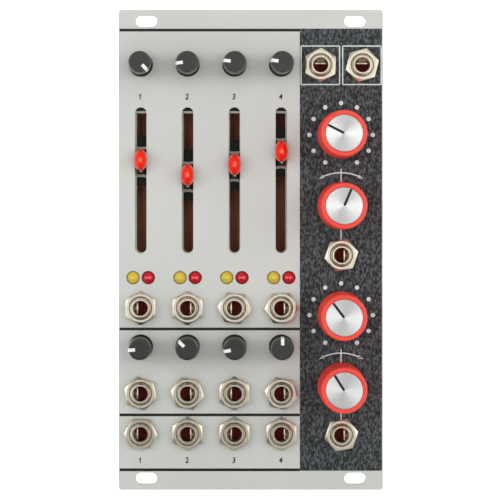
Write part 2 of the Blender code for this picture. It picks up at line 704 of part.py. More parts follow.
def build_lens(name, stand, foot):
    """The oval lens: a straight foot, then a dome drawn in over three steps."""
    sides = MEDIUM
    dome = LENS_RISE - LENS_FOOT
    levels = [(1.0, foot), (1.0, foot + LENS_FOOT)]
    for step in range(1, 4):
        angle = math.radians(90 * step / 4)
        levels.append((math.cos(angle), foot + LENS_FOOT + dome * math.sin(angle)))
    shape = bmesh.new()
    loops = []
    for share, height in levels:
        loops.append([shape.verts.new((LENS_WIDTH / 2 * share * math.cos(2 * math.pi * i / sides),
                                       LENS_LENGTH / 2 * share * math.sin(2 * math.pi * i / sides), height))
                      for i in range(sides)])
    for lower, upper in zip(loops, loops[1:]):
        for i in range(sides):
            j = (i + 1) % sides
            shape.faces.new((lower[i], lower[j], upper[j], upper[i]))
    tip = shape.verts.new((0, 0, foot + LENS_RISE))
    for i in range(sides):
        shape.faces.new((loops[-1][i], loops[-1][(i + 1) % sides], tip))
    shape.faces.new(loops[0][::-1])
    mesh = bpy.data.meshes.new(name)
    shape.to_mesh(mesh)
    shape.free()
    return add_mesh(name, mesh, parts, red_lens, stand)


# Jacks and LEDs

def build_jack(name, x, y, nut_turn):
    """A 3.5 mm jack: its body behind the panel, the threaded barrel through it, and the nut in front."""
    back = CONTROL_FRONT + FIT
    tip = PANEL_THICK + BARREL_RISE
    nut_low = PANEL_THICK + FIT
    body = add_mesh(name, block_mesh(name, (JACK_WIDTH, JACK_TALL, -FIT - back), back), parts, nickel,
                    (x, y, 0))
    outer, bore, mouth = BARREL / 2, BORE / 2, BORE_MOUTH / 2
    barrel = turned("barrel", [(0, tip), (outer - BARREL_CHAMFER, tip), (outer, tip - BARREL_CHAMFER),
                               (outer, -FIT - SINK), (0, -FIT - SINK)], MEDIUM, None, None, (x, y, 0))
    nut = tool("nut", hex_mesh("nut", NUT_FLATS, nut_low, nut_low + NUT_THICK), (x, y, 0), nut_turn)
    deep = tip - BORE_DEPTH
    drill = turned("bore", [(0, tip + OVERRUN), (mouth, tip + OVERRUN), (mouth, tip),
                            (bore, tip - (mouth - bore)), (bore, deep), (0, deep)], COARSE, None, None,
                   (x, y, 0))
    join(body, barrel, nut)
    cut(body, drill)
    return body


def build_led(name, x, finish):
    """A 3 mm LED with its flange, and its two legs down to the control board."""
    top = PANEL_THICK + LED_RISE
    body, flange = LED_BODY / 2, LED_FLANGE / 2
    low = top - LED_LENGTH
    profile = [(0, top), (body * math.sin(math.radians(50)), top - body * (1 - math.cos(math.radians(50)))),
               (body, top - body), (body, low + LED_FLANGE_THICK), (flange, low + LED_FLANGE_THICK),
               (flange, low), (0, low)]
    led = turned(name, profile, SMALL, parts, finish, (x, ROWS["led"], 0))
    for side in (-1, 1):
        leg = block_mesh("leg", (LED_LEG, LED_LEG, low + SINK - CONTROL_FRONT - FIT), CONTROL_FRONT + FIT,
                         (LED_LEG_PITCH / 2 * side, 0))
        join(led, tool("leg", leg, (x, ROWS["led"], 0)))
    return led


# Standing the finished module up

def stand_up():
    """Hang every piece on an empty that turns the face from up to forward."""
    stand = bpy.data.objects.new("module_frame", None)
    parts.objects.link(stand)
    stand.rotation_euler = (math.radians(90), 0, 0)
    stand.location = (0, 0, RAIL_PITCH / 2)
    for home in (parts, tools, pots, main_parts, header_pins):
        for piece in home.objects:
            if piece is not stand:
                piece.parent = stand


def smooth_round_pieces():
    """Shade round pieces smooth, with their corners kept sharp."""
    for piece in parts.objects:
        if piece.type == "MESH" and piece.data.polygons:
            piece.data.shade_smooth()
            piece.data.set_sharp_from_angle(angle=math.radians(35))


clear_scene()
parts = new_collection("rack_module")
tools = new_collection("tools")
pots = new_collection("pots")
main_parts = new_collection("main_board_parts")
header_pins = new_collection("header_pins")

aluminium = new_material("panel_paint", (0.58, 0.59, 0.57), 0.45)
solder_mask = new_material("solder_mask", (0.02, 0.02, 0.025), 0.4)
black_plastic = new_material("black_plastic", (0.02, 0.02, 0.02), 0.5)
dark_plastic = new_material("dark_plastic", (0.055, 0.055, 0.053), 0.6)
red_plastic = new_material("red_plastic", (0.80, 0.06, 0.03), 0.4)
turned_aluminium = new_material("turned_aluminium", (0.8, 0.8, 0.8), 0.3, 1.0)
steel = new_material("steel_sheet", (0.6, 0.6, 0.6), 0.35, 1.0)
red_lens = new_material("red_lens", (0.8, 0.03, 0.02), 0.15)
nickel = new_material("nickel", (0.62, 0.56, 0.45), 0.25, 1.0)
brass = new_material("brass", (0.6, 0.45, 0.2), 0.3, 1.0)
yellow_lens = new_material("yellow_lens", (0.6, 0.5, 0.06), 0.2)
peak_lens = new_material("peak_lens", (0.5, 0.01, 0.02), 0.2)

build_front_panel()
build_control_board()
build_main_board()
build_power_header()
build_spacers()
for knob_name, knob_x, knob_y, knob_turn in small_knob_table():
    build_small_knob(knob_name, knob_x, knob_y, knob_turn)
for knob_name, knob_y, knob_turn in large_knob_table():
    build_large_knob(knob_name, knob_y, knob_turn)
for channel in range(CHANNELS):
    build_fader(channel)
for jack_name, jack_x, jack_y, jack_turn in jack_table():
    build_jack(jack_name, jack_x, jack_y, jack_turn)
for led_name, led_x, led_colour in led_table():
    build_led(led_name, led_x, yellow_lens if led_colour == "yellow" else peak_lens)
smooth_round_pieces()
stand_up()
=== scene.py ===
"""Dressed model of a 14 HP rack mixer module: panel, prints, knobs, faders, jacks, LEDs and boards.

Each sub-assembly is a class that holds its own sizes in metres and builds and dresses its pieces. Places
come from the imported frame. Pieces are shaped face up, with X to the right, Y up the panel and Z out of its
front, and are then stood up together with the frame.
"""
from __future__ import annotations

import json
import logging
import math
import random
from dataclasses import dataclass
from enum import Enum

import bmesh
import bpy
from mathutils import Matrix, Vector


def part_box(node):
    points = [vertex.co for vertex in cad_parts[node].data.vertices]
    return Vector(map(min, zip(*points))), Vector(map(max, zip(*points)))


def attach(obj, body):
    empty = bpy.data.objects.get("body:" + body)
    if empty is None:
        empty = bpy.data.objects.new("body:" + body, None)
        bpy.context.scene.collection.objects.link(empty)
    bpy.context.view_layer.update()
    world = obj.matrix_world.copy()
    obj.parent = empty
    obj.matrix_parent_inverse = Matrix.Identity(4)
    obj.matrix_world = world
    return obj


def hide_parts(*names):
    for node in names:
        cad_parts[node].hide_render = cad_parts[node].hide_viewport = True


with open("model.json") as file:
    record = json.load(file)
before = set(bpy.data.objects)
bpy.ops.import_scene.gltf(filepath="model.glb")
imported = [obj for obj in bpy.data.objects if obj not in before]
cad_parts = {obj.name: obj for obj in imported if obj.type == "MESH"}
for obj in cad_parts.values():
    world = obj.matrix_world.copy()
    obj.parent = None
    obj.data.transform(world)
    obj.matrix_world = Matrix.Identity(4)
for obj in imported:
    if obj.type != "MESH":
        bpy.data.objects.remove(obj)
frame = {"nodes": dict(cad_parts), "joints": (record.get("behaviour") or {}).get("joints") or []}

LOG = logging.getLogger("module")
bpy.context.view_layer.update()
ROOT = "module"
ROUND = 64
FULL_TURN = 2 * math.pi
SKIN = 0.00003
MERGE = 0.000001
MERGE_FINE = 0.0000005
LEAST_RADIUS = 0.00001
SIDES = (-1, 1)
SQUARE = ((1, -1), (1, 1), (-1, 1), (-1, -1))
CORNERS = ((-1, -1), (-1, 1), (1, -1), (1, 1))
BEVEL_STEPS = 2
BEVEL_FROM = 40

Point = tuple[float, float]
Triple = tuple[float, float, float]


# Shader maths

class Wire:
    """An output of a node tree that takes part in plain arithmetic."""

    def __init__(self, tree: bpy.types.NodeTree, socket: bpy.types.NodeSocket) -> None:
        """Hold a socket and the tree it belongs to."""
        self.tree, self.socket = tree, socket

    def _math(self, operation: str, *values: Wire | float) -> Wire:
        """Add a Math node.

        Args:
            operation: Name of the node's operation.
            values: What goes in its sockets, in order.

        Returns:
            The node's output.
        """
        made = self.tree.nodes.new("ShaderNodeMath")
        made.operation = operation
        for socket, value in zip(made.inputs, values):
            plug(self.tree, socket, value)
        return Wire(self.tree, made.outputs[0])

    def __add__(self, other: Wire | float) -> Wire:
        """Sum with another value."""
        return self._math("ADD", self, other)

    __radd__ = __add__

    def __sub__(self, other: Wire | float) -> Wire:
        """Difference from another value."""
        return self._math("SUBTRACT", self, other)

    def __rsub__(self, other: float) -> Wire:
        """What is left of a number after this value."""
        return self._math("SUBTRACT", other, self)

    def __mul__(self, other: Wire | float) -> Wire:
        """Product with another value."""
        return self._math("MULTIPLY", self, other)

    __rmul__ = __mul__

    def __gt__(self, other: Wire | float) -> Wire:
        """One where this value is greater, and zero elsewhere."""
        return self._math("GREATER_THAN", self, other)


def plug(tree: bpy.types.NodeTree, socket: bpy.types.NodeSocket, value: Wire | float | tuple) -> None:
    """Feed a socket.

    Args:
        tree: The node tree.
        socket: The socket that is fed.
        value: A wire to link, or the socket's own value.
    """
    if isinstance(value, Wire):
        tree.links.new(value.socket, socket)
    else:
        socket.default_value = value


def shade(colour: Triple, factor: float) -> Triple:
    """A colour made lighter or darker by a factor."""
    return tuple(channel * factor for channel in colour)


class Graph:
    """The node tree of one material, with its Principled shader."""

    def __init__(self, name: str) -> None:
        """Make an empty material.

        Args:
            name: The material's name.
        """
        self.material = bpy.data.materials.new(name)
        self.material.use_nodes = True
        self.tree = self.material.node_tree
        self.shader = self.tree.nodes["Principled BSDF"]

    def node(self, kind: str, settings: dict | None = None, sockets: dict | None = None,
             output: str | int = 0) -> Wire:
        """Add a node of any kind.

        Args:
            kind: The node's type, without its ShaderNode prefix.
            settings: Properties that are set first; "stops" fills a colour ramp.
            sockets: Values or wires by socket name or number.
            output: The output that is handed back.

        Returns:
            The chosen output.
        """
        made = self.tree.nodes.new("ShaderNode" + kind)
        for key, value in (settings or {}).items():
            if key == "stops":
                while len(made.color_ramp.elements) < len(value):
                    made.color_ramp.elements.new(1.0)
                for element, (place, colour) in zip(made.color_ramp.elements, value):
                    element.position, element.color = place, (*colour, 1.0)
            else:
                setattr(made, key, value)
        for key, value in (sockets or {}).items():
            plug(self.tree, made.inputs[key], value)
        return Wire(self.tree, made.outputs[output])

    def place(self, stretch: Triple = (1.0, 1.0, 1.0), lean: float = 0.0) -> Wire:
        """The point on the piece in its own axes, stretched along them and turned by degrees."""
        return self.node("Mapping", sockets={"Vector": self.node("TexCoord", output="Object"),
                                             "Rotation": (0.0, 0.0, math.radians(lean)), "Scale": stretch})

    def flat(self, stretch_x: float = 1.0, stretch_y: float = 1.0) -> Wire:
        """The point on the piece as seen along its axis, stretched."""
        return self.node("VectorMath", {"operation": "MULTIPLY"},
                         {0: self.node("TexCoord", output="Object"), 1: (stretch_x, stretch_y, 0.0)})

    def reach(self, point: Wire, x: float = 0.0) -> Wire:
        """How far a point lies from a spot on the X axis."""
        return self.node("VectorMath", {"operation": "DISTANCE"}, {0: point, 1: (x, 0.0, 0.0)}, "Value")

    def noise(self, size: float, detail: float = 2.0, vector: Wire | None = None) -> Wire:
        """Noise round a half, with features of a size in metres, at a point or the piece's own."""
        return self.node("TexNoise", sockets={"Vector": vector or self.place(), "Scale": 1 / size,
                                              "Detail": detail})

    def ramp(self, value: Wire, start: float, end: float, low: float = 0.0, high: float = 1.0) -> Wire:
        """Stretch a value's range from start to end to one from low to high, and hold it inside."""
        return self.node("MapRange", sockets={0: value, 1: start, 2: end, 3: low, 4: high})

    def patches(self, size: float, detail: float = 2.0, vector: Wire | None = None, low: float = 0.0,
                high: float = 1.0) -> Wire:
        """Noise of a size and detail that fills the range from low to high."""
        return self.ramp(self.noise(size, detail, vector), 1 / 3, 2 / 3, low, high)

    def tint(self, mask: Wire, low: Triple | Wire, high: Triple) -> Wire:
        """Mix two colours by a mask, which is zero for the low colour and one for the high one."""
        first = low if isinstance(low, Wire) else (*low, 1.0)
        return self.node("Mix", {"data_type": "RGBA"}, {0: mask, 6: first, 7: (*high, 1.0)}, 2)

    def vary(self, mask: Wire, colour: Triple, darker: float, lighter: float) -> Wire:
        """Vary a colour by a mask, between a share darker and a share lighter."""
        return self.tint(mask, shade(colour, 1 - darker), shade(colour, 1 + lighter))

    def relief(self, height: Wire, depth: float, strength: float = 1.0) -> None:
        """Raise the surface by a height from zero to one, times a depth in metres."""
        self.surface(Normal=self.node("Bump", sockets={"Height": height, "Distance": depth,
                                                       "Strength": strength}))

    def surface(self, **sockets: Wire | float | tuple) -> None:
        """Set sockets of the shader, with underscores for the spaces in their names."""
        for key, value in sockets.items():
            plug(self.tree, self.shader.inputs[key.replace("_", " ")], value)


# Finishes

@dataclass(frozen=True)
class Moulded:
    """Moulded plastic or epoxy with a fine grain and a little unevenness."""

    name: str
    colour: Triple
    roughness: float = 0.5
    grain: float = 0.00015
    mottle: float = 0.12
    gloss: float = 0.0
    shine: float = 0.5
    stretch: Triple = (1.0, 1.0, 1.0)

    def material(self) -> bpy.types.Material:
        """Make the finish.

        Returns:
            The material.
        """
        graph = Graph(self.name)
        mottle = graph.patches(self.grain * 14, 2.0, graph.place(self.stretch))
        gloss = graph.patches(self.grain * 6, low=self.roughness - 0.05, high=self.roughness + 0.06)
        graph.surface(Base_Color=graph.vary(mottle, self.colour, self.mottle, self.mottle),
                      Roughness=gloss, Coat_Weight=self.gloss, Specular_IOR_Level=self.shine)
        graph.relief(graph.noise(self.grain, 3.0), 0.000006)
        return graph.material


@dataclass(frozen=True)
class Plated:
    """Bare or plated metal with faint handling marks."""

    name: str
    colour: Triple
    roughness: float = 0.22
    marks: float = 0.0012
    stretch: Triple = (1.0, 1.0, 1.0)
    stain: float = 0.05

    def material(self) -> bpy.types.Material:
        """Make the finish.

        Returns:
            The material.
        """
        graph = Graph(self.name)
        where = graph.place(self.stretch)
        stains = graph.patches(self.marks * 2, 3.0)
        gloss = graph.patches(self.marks, 4.0, where, self.roughness - 0.03, self.roughness + 0.04)
        graph.surface(Base_Color=graph.vary(stains, self.colour, self.stain, self.stain), Metallic=1.0,
                      Roughness=gloss)
        graph.relief(graph.noise(self.marks / 3, 2.0, where), 0.000001)
        return graph.material


@dataclass(frozen=True)
class Spun:
    """Aluminium faced on a lathe: fine rings about the piece's middle in tone and in gloss."""

    name: str = "spun_aluminium"
    colour: Triple = (0.605, 0.615, 0.60)
    roughness: float = 0.46
    ring: float = 0.00010
    stretch: float = 0.66

    def material(self) -> bpy.types.Material:
        """Make the finish.

        Returns:
            The material.
        """
        graph = Graph(self.name)
        along = graph.node("CombineXYZ", sockets={"X": graph.reach(graph.flat())})
        rings = graph.patches(self.ring, 3.0, along)
        graph.surface(Base_Color=graph.vary(rings, self.colour, 0.04, 0.03), Metallic=1.0,
                      Roughness=self.roughness - 0.02 + rings * 0.04, Anisotropic=self.stretch,
                      Anisotropic_Rotation=0.25)
        return graph.material


@dataclass(frozen=True)
class PanelPaint:
    """Satin light grey paint on aluminium: cloudy tone, fine stipple and a few faint scuffs."""

    name: str = "panel_paint"
    colour: Triple = (0.585, 0.598, 0.568)
    roughness: float = 0.48
    cloud: float = 0.035
    stipple: float = 0.00022

    def material(self) -> bpy.types.Material:
        """Make the finish.

        Returns:
            The material.
        """
        graph = Graph(self.name)
        fine = graph.noise(self.stipple, 3.0)
        scuffs = graph.noise(self.stipple * 5, 2.0, graph.place((1.0, 0.12, 1.0))) > 0.71
        tone = graph.patches(self.cloud, 3.0) * 0.8 + fine * 0.2
        graph.surface(Base_Color=graph.vary(tone, self.colour, 0.045, 0.03),
                      Roughness=self.roughness + scuffs * 0.1 + fine * 0.08)
        graph.relief(fine, 0.000007)
        return graph.material


@dataclass(frozen=True)
class CrinklePrint:
    """Charcoal print with fine, mostly upright lighter streaks, like crinkled paper."""

    name: str = "charcoal_print"
    dark: Triple = (0.0160, 0.0190, 0.0195)
    light: Triple = (0.144, 0.159, 0.167)
    streak: float = 0.00046

    def material(self) -> bpy.types.Material:
        """Make the finish.

        Returns:
            The material.
        """
        graph = Graph(self.name)
        ridges = graph.noise(self.streak, 5.0, graph.place((1.0, 0.5, 1.0), -14))
        tone = graph.ramp(ridges + graph.noise(self.streak * 4) * 0.06, 0.45, 0.78)
        graph.surface(Base_Color=graph.tint(tone, self.dark, self.light), Roughness=0.7,
                      Specular_IOR_Level=0.22)
        graph.relief(ridges, 0.00002, 0.5)
        return graph.material


@dataclass(frozen=True)
class Ink:
    """Screen printed ink with a slightly uneven tone."""

    name: str
    colour: Triple
    roughness: float = 0.5

    def material(self) -> bpy.types.Material:
        """Make the finish.

        Returns:
            The material.
        """
        graph = Graph(self.name)
        graph.surface(Base_Color=graph.vary(graph.patches(0.0006, 3.0), self.colour, 0.1, 0.06),
                      Roughness=self.roughness, Specular_IOR_Level=0.25)
        graph.relief(graph.noise(0.0002), 0.000003)
        return graph.material


@dataclass(frozen=True)
class LitLens:
    """Red lens of a fader, lit from inside: brightest at its middle, with a pale rim at its edge that is a
    painted highlight.
    """

    name: str = "lit_lens"
    mark: Triple = (0.88, 0.11, 0.05)
    core: Triple = (0.63, 0.010, 0.0)
    edge: Triple = (0.44, 0.006, 0.0)
    # Pale pink at the very edge of the lens: a painted highlight.
    rim: Triple = (0.66, 0.11, 0.08)
    glow: float = 0.34
    length: float = 0.0056
    width: float = 0.00352

    def material(self) -> bpy.types.Material:
        """Make the finish.

        Returns:
            The material.
        """
        graph = Graph(self.name)
        reach = graph.reach(graph.flat(2 / self.width, 2 / self.length))
        ripple = graph.noise(0.0005, 1.0) * 0.9 - 0.45
        wave = reach + ripple * graph.ramp(reach, 0.2, 0.7, 1.0, 0.0)
        stops = [(0.10, self.mark), (0.30, self.core), (0.78, self.core), (0.90, self.edge),
                 (0.99, self.rim)]
        colour = graph.node("ValToRGB", {"stops": stops}, {0: wave})
        graph.surface(Base_Color=colour, Emission_Color=colour, Emission_Strength=self.glow,
                      Roughness=0.2, Specular_IOR_Level=0.25)
        graph.relief(graph.noise(0.0009), 0.00001)
        return graph.material


@dataclass(frozen=True)
class LedLens:
    """Tinted epoxy of an LED with bright spots and a darker skirt: a spot at the middle is the die, spots off
    the middle are painted highlights.
    """

    name: str
    die_and_highlight: Triple
    core: Triple
    edge: Triple
    sparks: tuple[Point, ...] = ((0.0, 0.26),)
    glow: float = 0.12
    radius: float = 0.00175

    def material(self) -> bpy.types.Material:
        """Make the finish.

        Returns:
            The material.
        """
        graph = Graph(self.name)
        where = graph.flat(1 / self.radius, 1 / self.radius)
        reach = graph.reach(where)
        ripple = (graph.noise(0.0006, 1.0) - 0.5) * graph.ramp(reach, 0.2, 0.7, 1.0, 0.0)
        stops = [(0.80, self.core), (0.97, self.edge)]
        colour = graph.node("ValToRGB", {"stops": stops}, {0: reach + ripple})
        # Each spot is painted in the spot colour: the die at the middle, a painted highlight off it.
        for x, size in self.sparks:
            spark = graph.ramp(graph.reach(where, x), size * 0.4, size, 1.0, 0.0)
            colour = graph.tint(spark, colour, self.die_and_highlight)
        graph.surface(Base_Color=colour, Emission_Color=colour, Emission_Strength=self.glow,
                      Roughness=0.2, Coat_Weight=0.1, Specular_IOR_Level=0.35)
        return graph.material


class Finish(Enum):
    """Every finish on the module."""

    PANEL = PanelPaint()
    CHARCOAL = CrinklePrint()
    BLACK_INK = Ink("black_ink", (0.012, 0.012, 0.011))
    WHITE_INK = Ink("white_ink", (0.68, 0.75, 0.74))
    DARK_KNOB = Moulded("dark_knob", (0.013, 0.015, 0.013), 0.34, mottle=0.08)
    # Near-black matte copy of the knob's plastic: painted shade on the lower side where it sinks into its
    # hole.
    KNOB_PAINTED_SHADE = Moulded("knob_painted_shade", (0.006, 0.006, 0.006), 0.8, shine=0.1)
    RED_KNOB = Moulded("red_knob", (0.86, 0.055, 0.034), 0.40, mottle=0.03, shine=0.4)
    POINTER = Moulded("pointer_white", (0.82, 0.82, 0.80), 0.45, mottle=0.03)
    SPUN = Spun()
    NICKEL = Plated("nickel", (0.625, 0.572, 0.474), 0.34)
    # Darker copy of the nickel for the bore's lining: painted shade deep inside the jack.
    NICKEL_PAINTED_SHADE = Plated("nickel_painted_shade", (0.40, 0.34, 0.27), 0.38)
    CONTACT = Plated("contact_spring", (0.62, 0.55, 0.45), 0.25)
    STEEL = Plated("steel_sheet", (0.60, 0.59, 0.55), 0.32, 0.002, (1.0, 0.1, 1.0))
    BRASS = Plated("brass_spacer", (0.72, 0.56, 0.28), 0.25)
    TIN = Plated("tin", (0.62, 0.63, 0.64), 0.3, 0.0006)
    GOLD = Plated("gold_pad", (0.86, 0.62, 0.25), 0.25, 0.0006)
    BLACK_PLASTIC = Moulded("black_plastic", (0.014, 0.014, 0.014), 0.45)
    SHIELD = Moulded("shield_black", (0.013, 0.0135, 0.010), 0.6, shine=0.15)
    # Near-black copy of the sheet steel for the fader cover: painted shade behind the panel.
    COVER_PAINTED_SHADE = Plated("fader_cover", (0.06, 0.062, 0.045), 0.4, 0.002)
    # Pale grey for the ring round the cover's mouth: painted light on the sheet's edge below the slot.
    LIP_PAINTED_LIGHT = Moulded("mouth_lip_painted_light", (0.46, 0.45, 0.40), 0.4)
    GUIDE = Moulded("guide_bar", (0.40, 0.33, 0.27), 0.45)
    TRACK = Moulded("phenolic_track", (0.66, 0.25, 0.14), 0.5, 0.0001, 0.3, shine=0.1,
                    stretch=(1.0, 0.06, 1.0))
    JACK_INSIDE = Moulded("jack_inside", (0.42, 0.014, 0.006), 0.6)
    MASK = Moulded("solder_mask", (0.006, 0.021, 0.012), 0.3, 0.0004, gloss=0.3)
    POT_BODY = Moulded("pot_body", (0.02, 0.05, 0.12), 0.5)
    EPOXY = Moulded("chip_epoxy", (0.016, 0.016, 0.017), 0.55)
    # Pale grey for the small block under a fader's lens: a painted highlight.
    PAINTED_HIGHLIGHT_CHIP = Moulded("painted_highlight_chip", (0.40, 0.40, 0.39), 0.4)
    CERAMIC = Moulded("ceramic", (0.36, 0.26, 0.17), 0.5)
    SLEEVE = Moulded("capacitor_sleeve", (0.02, 0.025, 0.05), 0.35, gloss=0.3)
    CAN = Plated("capacitor_can", (0.78, 0.79, 0.8), 0.3)
    LENS = LitLens()
    YELLOW_LED = LedLens("yellow_led", (0.70, 0.50, 0.08), (0.56, 0.42, 0.04), (0.45, 0.37, 0.07))
    # The red LED's two spots left and right of its middle are painted highlights.
    RED_LED = LedLens("red_led", (0.80, 0.085, 0.075), (0.42, 0.004, 0.010), (0.36, 0.020, 0.034),
                      ((-0.29, 0.24), (0.20, 0.32)))


# Shapes

def circle(radius: float, sides: int = ROUND, centre: Point = (0.0, 0.0)) -> list[Point]:
    """Points round a circle."""
    return [(centre[0] + radius * math.cos(FULL_TURN * i / sides),
             centre[1] + radius * math.sin(FULL_TURN * i / sides)) for i in range(sides)]


def ring(radius: float, height: float, sides: int = ROUND, centre: Point = (0.0, 0.0)) -> list[Vector]:
    """Points round a circle at a height."""
    return [Vector((x, y, height)) for x, y in circle(radius, sides, centre)]


def oblong(size_x: float, size_y: float, centre: Point = (0.0, 0.0), sides: int = 32) -> list[Point]:
    """Outline a slot with full round ends, along X or Y.

    Args:
        size_x: Its size along X.
        size_y: Its size along Y.
        centre: Its middle.
        sides: How many points it has.

    Returns:
        The points.
    """
    radius = min(size_x, size_y) / 2
    points = []
    for x, y in [(math.cos(a), math.sin(a)) for a in (FULL_TURN * (i + 0.5) / sides for i in range(sides))]:
        points.append((centre[0] + radius * x + math.copysign(size_x / 2 - radius, x),
                       centre[1] + radius * y + math.copysign(size_y / 2 - radius, y)))
    return points


def rounded(size_x: float, size_y: float, corner: float, centre: Point = (0.0, 0.0),
            steps: int = 6) -> list[Point]:
    """Outline a rectangle with rounded corners.

    Args:
        size_x: Its size along X.
        size_y: Its size along Y.
        corner: Radius of its corners.
        centre: Its middle.
        steps: Edges round each corner.

    Returns:
        The points.
    """
    points = []
    for quarter in range(4):
        side_x = 1 if quarter in (0, 3) else -1
        side_y = 1 if quarter in (0, 1) else -1
        for step in range(steps + 1):
            angle = math.radians(90 * (quarter + step / steps))
            points.append((centre[0] + side_x * (size_x / 2 - corner) + corner * math.cos(angle),
                           centre[1] + side_y * (size_y / 2 - corner) + corner * math.sin(angle)))
    return points


def arc(radius: float, start: float, end: float, steps: int, centre: Point = (0.0, 0.0)) -> list[Point]:
    """Points along an arc, from one clockwise-from-up angle in degrees to another."""
    angles = [math.radians(start + (end - start) * i / steps) for i in range(steps + 1)]
    return [(centre[0] + radius * math.sin(a), centre[1] + radius * math.cos(a)) for a in angles]


def rolled(radius: float, top: float, roll: float, steps: int, first: int = 0) -> list[Point]:
    """Profile of an edge that is rolled over, from a radius below to a top, in steps after the first."""
    angles = [math.radians(90 * step / steps) for step in range(first, steps + 1)]
    return [(radius - roll * (1 - math.cos(a)), top - roll * (1 - math.sin(a))) for a in angles]


def linked(name: str, data: bpy.types.ID) -> bpy.types.Object:
    """Put a mesh, curve, light or camera in the scene.

    Args:
        name: The object's name.
        data: What it shows.

    Returns:
        The object.
    """
    made = bpy.data.objects.new(name, data)
    bpy.context.scene.collection.objects.link(made)
    return made


def filled(curve: bpy.types.Curve, height: float) -> bmesh.types.BMesh:
    """Turn a flat curve or text into a mesh and use it up.

    Args:
        curve: The curve.
        height: Where the mesh's middle comes to lie.

    Returns:
        The mesh.
    """
    holder = linked(curve.name, curve)
    bpy.context.view_layer.update()
    drawn = bpy.data.meshes.new_from_object(holder.evaluated_get(bpy.context.evaluated_depsgraph_get()))
    bpy.data.objects.remove(holder)
    made = bmesh.new()
    made.from_mesh(drawn)
    bmesh.ops.translate(made, vec=(0, 0, height), verts=made.verts)
    return made


class Shape:
    """A mesh that is put together in the face frame. Its methods hand back the shape itself."""

    def __init__(self, mesh: bmesh.types.BMesh | None = None) -> None:
        """Start with a mesh or with nothing."""
        self.mesh = mesh or bmesh.new()

    def loops(self, rings: list[list[Vector]], closed: bool = True) -> Shape:
        """Skin a row of point rings.

        Args:
            rings: Rings with the same number of points, the first at the bottom.
            closed: Whether the first and last ring get a face.

        Returns:
            The shape.
        """
        made = [[self.mesh.verts.new(point) for point in ring] for ring in rings]
        count = len(made[0])
        for lower, upper in zip(made, made[1:]):
            for i in range(count):
                j = (i + 1) % count
                self.mesh.faces.new((lower[i], lower[j], upper[j], upper[i]))
        if closed:
            self.mesh.faces.new(made[0][::-1])
            self.mesh.faces.new(made[-1])
        return self

    def mend(self, merge: float = 0.0) -> Shape:
        """Merge points closer than a distance, and turn all faces outward.

        Args:
            merge: The distance, or zero to merge nothing.

        Returns:
            The shape.
        """
        if merge:
            bmesh.ops.remove_doubles(self.mesh, verts=self.mesh.verts, dist=merge)
        bmesh.ops.recalc_face_normals(self.mesh, faces=self.mesh.faces)
        return self

    def lathe(self, profile: list[Point], sides: int = ROUND, ribs: float = 0.0,
              ribbed: range = range(0)) -> Shape:
        """Turn a profile about the axis.

        Args:
            profile: Radius and height of each ring, from the bottom up; a zero radius becomes a tiny one.
            sides: Points round each ring.
            ribs: Depth of the grooves between ribs.
            ribbed: Numbers of the rings that carry ribs, four points to a rib.

        Returns:
            The shape.
        """
        rings = []
        for number, (radius, height) in enumerate(profile):
            dips = [ribs if number in ribbed and i % 4 in (0, 1) else 0.0 for i in range(sides)]
            reaches = [max(radius - dip, LEAST_RADIUS) for dip in dips]
            rings.append([Vector((x * reach, y * reach, height))
                          for (x, y), reach in zip(circle(1.0, sides), reaches)])
        return self.loops(rings)

    def prism(self, outline: list[Point], low: float, high: float, inset: float = 0.0) -> Shape:
        """Raise a convex outline.

        Args:
            outline: Its points.
            low: Height of its lower face.
            high: Height of its upper face.
            inset: How far its top is drawn in, over the same height.

        Returns:
            The shape.
        """
        flat = [Vector(point) for point in outline]
        middle = sum(flat, Vector((0.0, 0.0))) / len(flat)
        rings = [[(*point, low) for point in flat]]
        if inset:
            rings.append([(*point, high - inset) for point in flat])
            flat = [point - (point - middle).normalized() * inset for point in flat]
        rings.append([(*point, high) for point in flat])
        return self.loops(rings)

    def block(self, size: Triple, centre: Triple) -> Shape:
        """Add a box by its size and centre."""
        corners = [(centre[0] + size[0] / 2 * a, centre[1] + size[1] / 2 * b) for a, b in SQUARE]
        return self.prism(corners, centre[2] - size[2] / 2, centre[2] + size[2] / 2)

    def strip(self, path: list[Point], width: float, thick: float, low: float) -> Shape:
        """Lay a flat line of a width along points on the face.

        Args:
            path: Points along its middle.
            width: Across the line.
            thick: Height of the ink.
            low: Height that it lies on.

        Returns:
            The shape.
        """
        points = [Vector((x, y, low)) for x, y in path]
        up = Vector((0, 0, thick))
        rings = []
        for i, point in enumerate(points):
            ahead = (points[min(i + 1, len(points) - 1)] - points[max(i - 1, 0)]).normalized()
            side = Vector((ahead.y, -ahead.x, 0)) * width / 2
            rings.append([point + side, point + side + up, point - side + up, point - side])
        return self.loops(rings)

    def plate(self, outlines: list[list[Point]], low: float, thick: float) -> Shape:
        """Add a flat plate, filled by a 2D curve.

        Args:
            outlines: Its edge and its holes.
            low: Height of its lower face.
            thick: Its thickness.

        Returns:
            The shape.
        """
        curve = bpy.data.curves.new("outline", "CURVE")
        curve.dimensions, curve.fill_mode, curve.extrude = "2D", "BOTH", thick / 2
        for outline in outlines:
            line = curve.splines.new("POLY")
            line.points.add(len(outline) - 1)
            for point, (x, y) in zip(line.points, outline):
                point.co = (x, y, 0, 1)
            line.use_cyclic_u = True
        own = Shape(filled(curve, low + thick / 2)).mend(MERGE_FINE)
        part = bpy.data.meshes.new("plate")
        own.mesh.to_mesh(part)
        own.mesh.free()
        self.mesh.from_mesh(part)
        return self


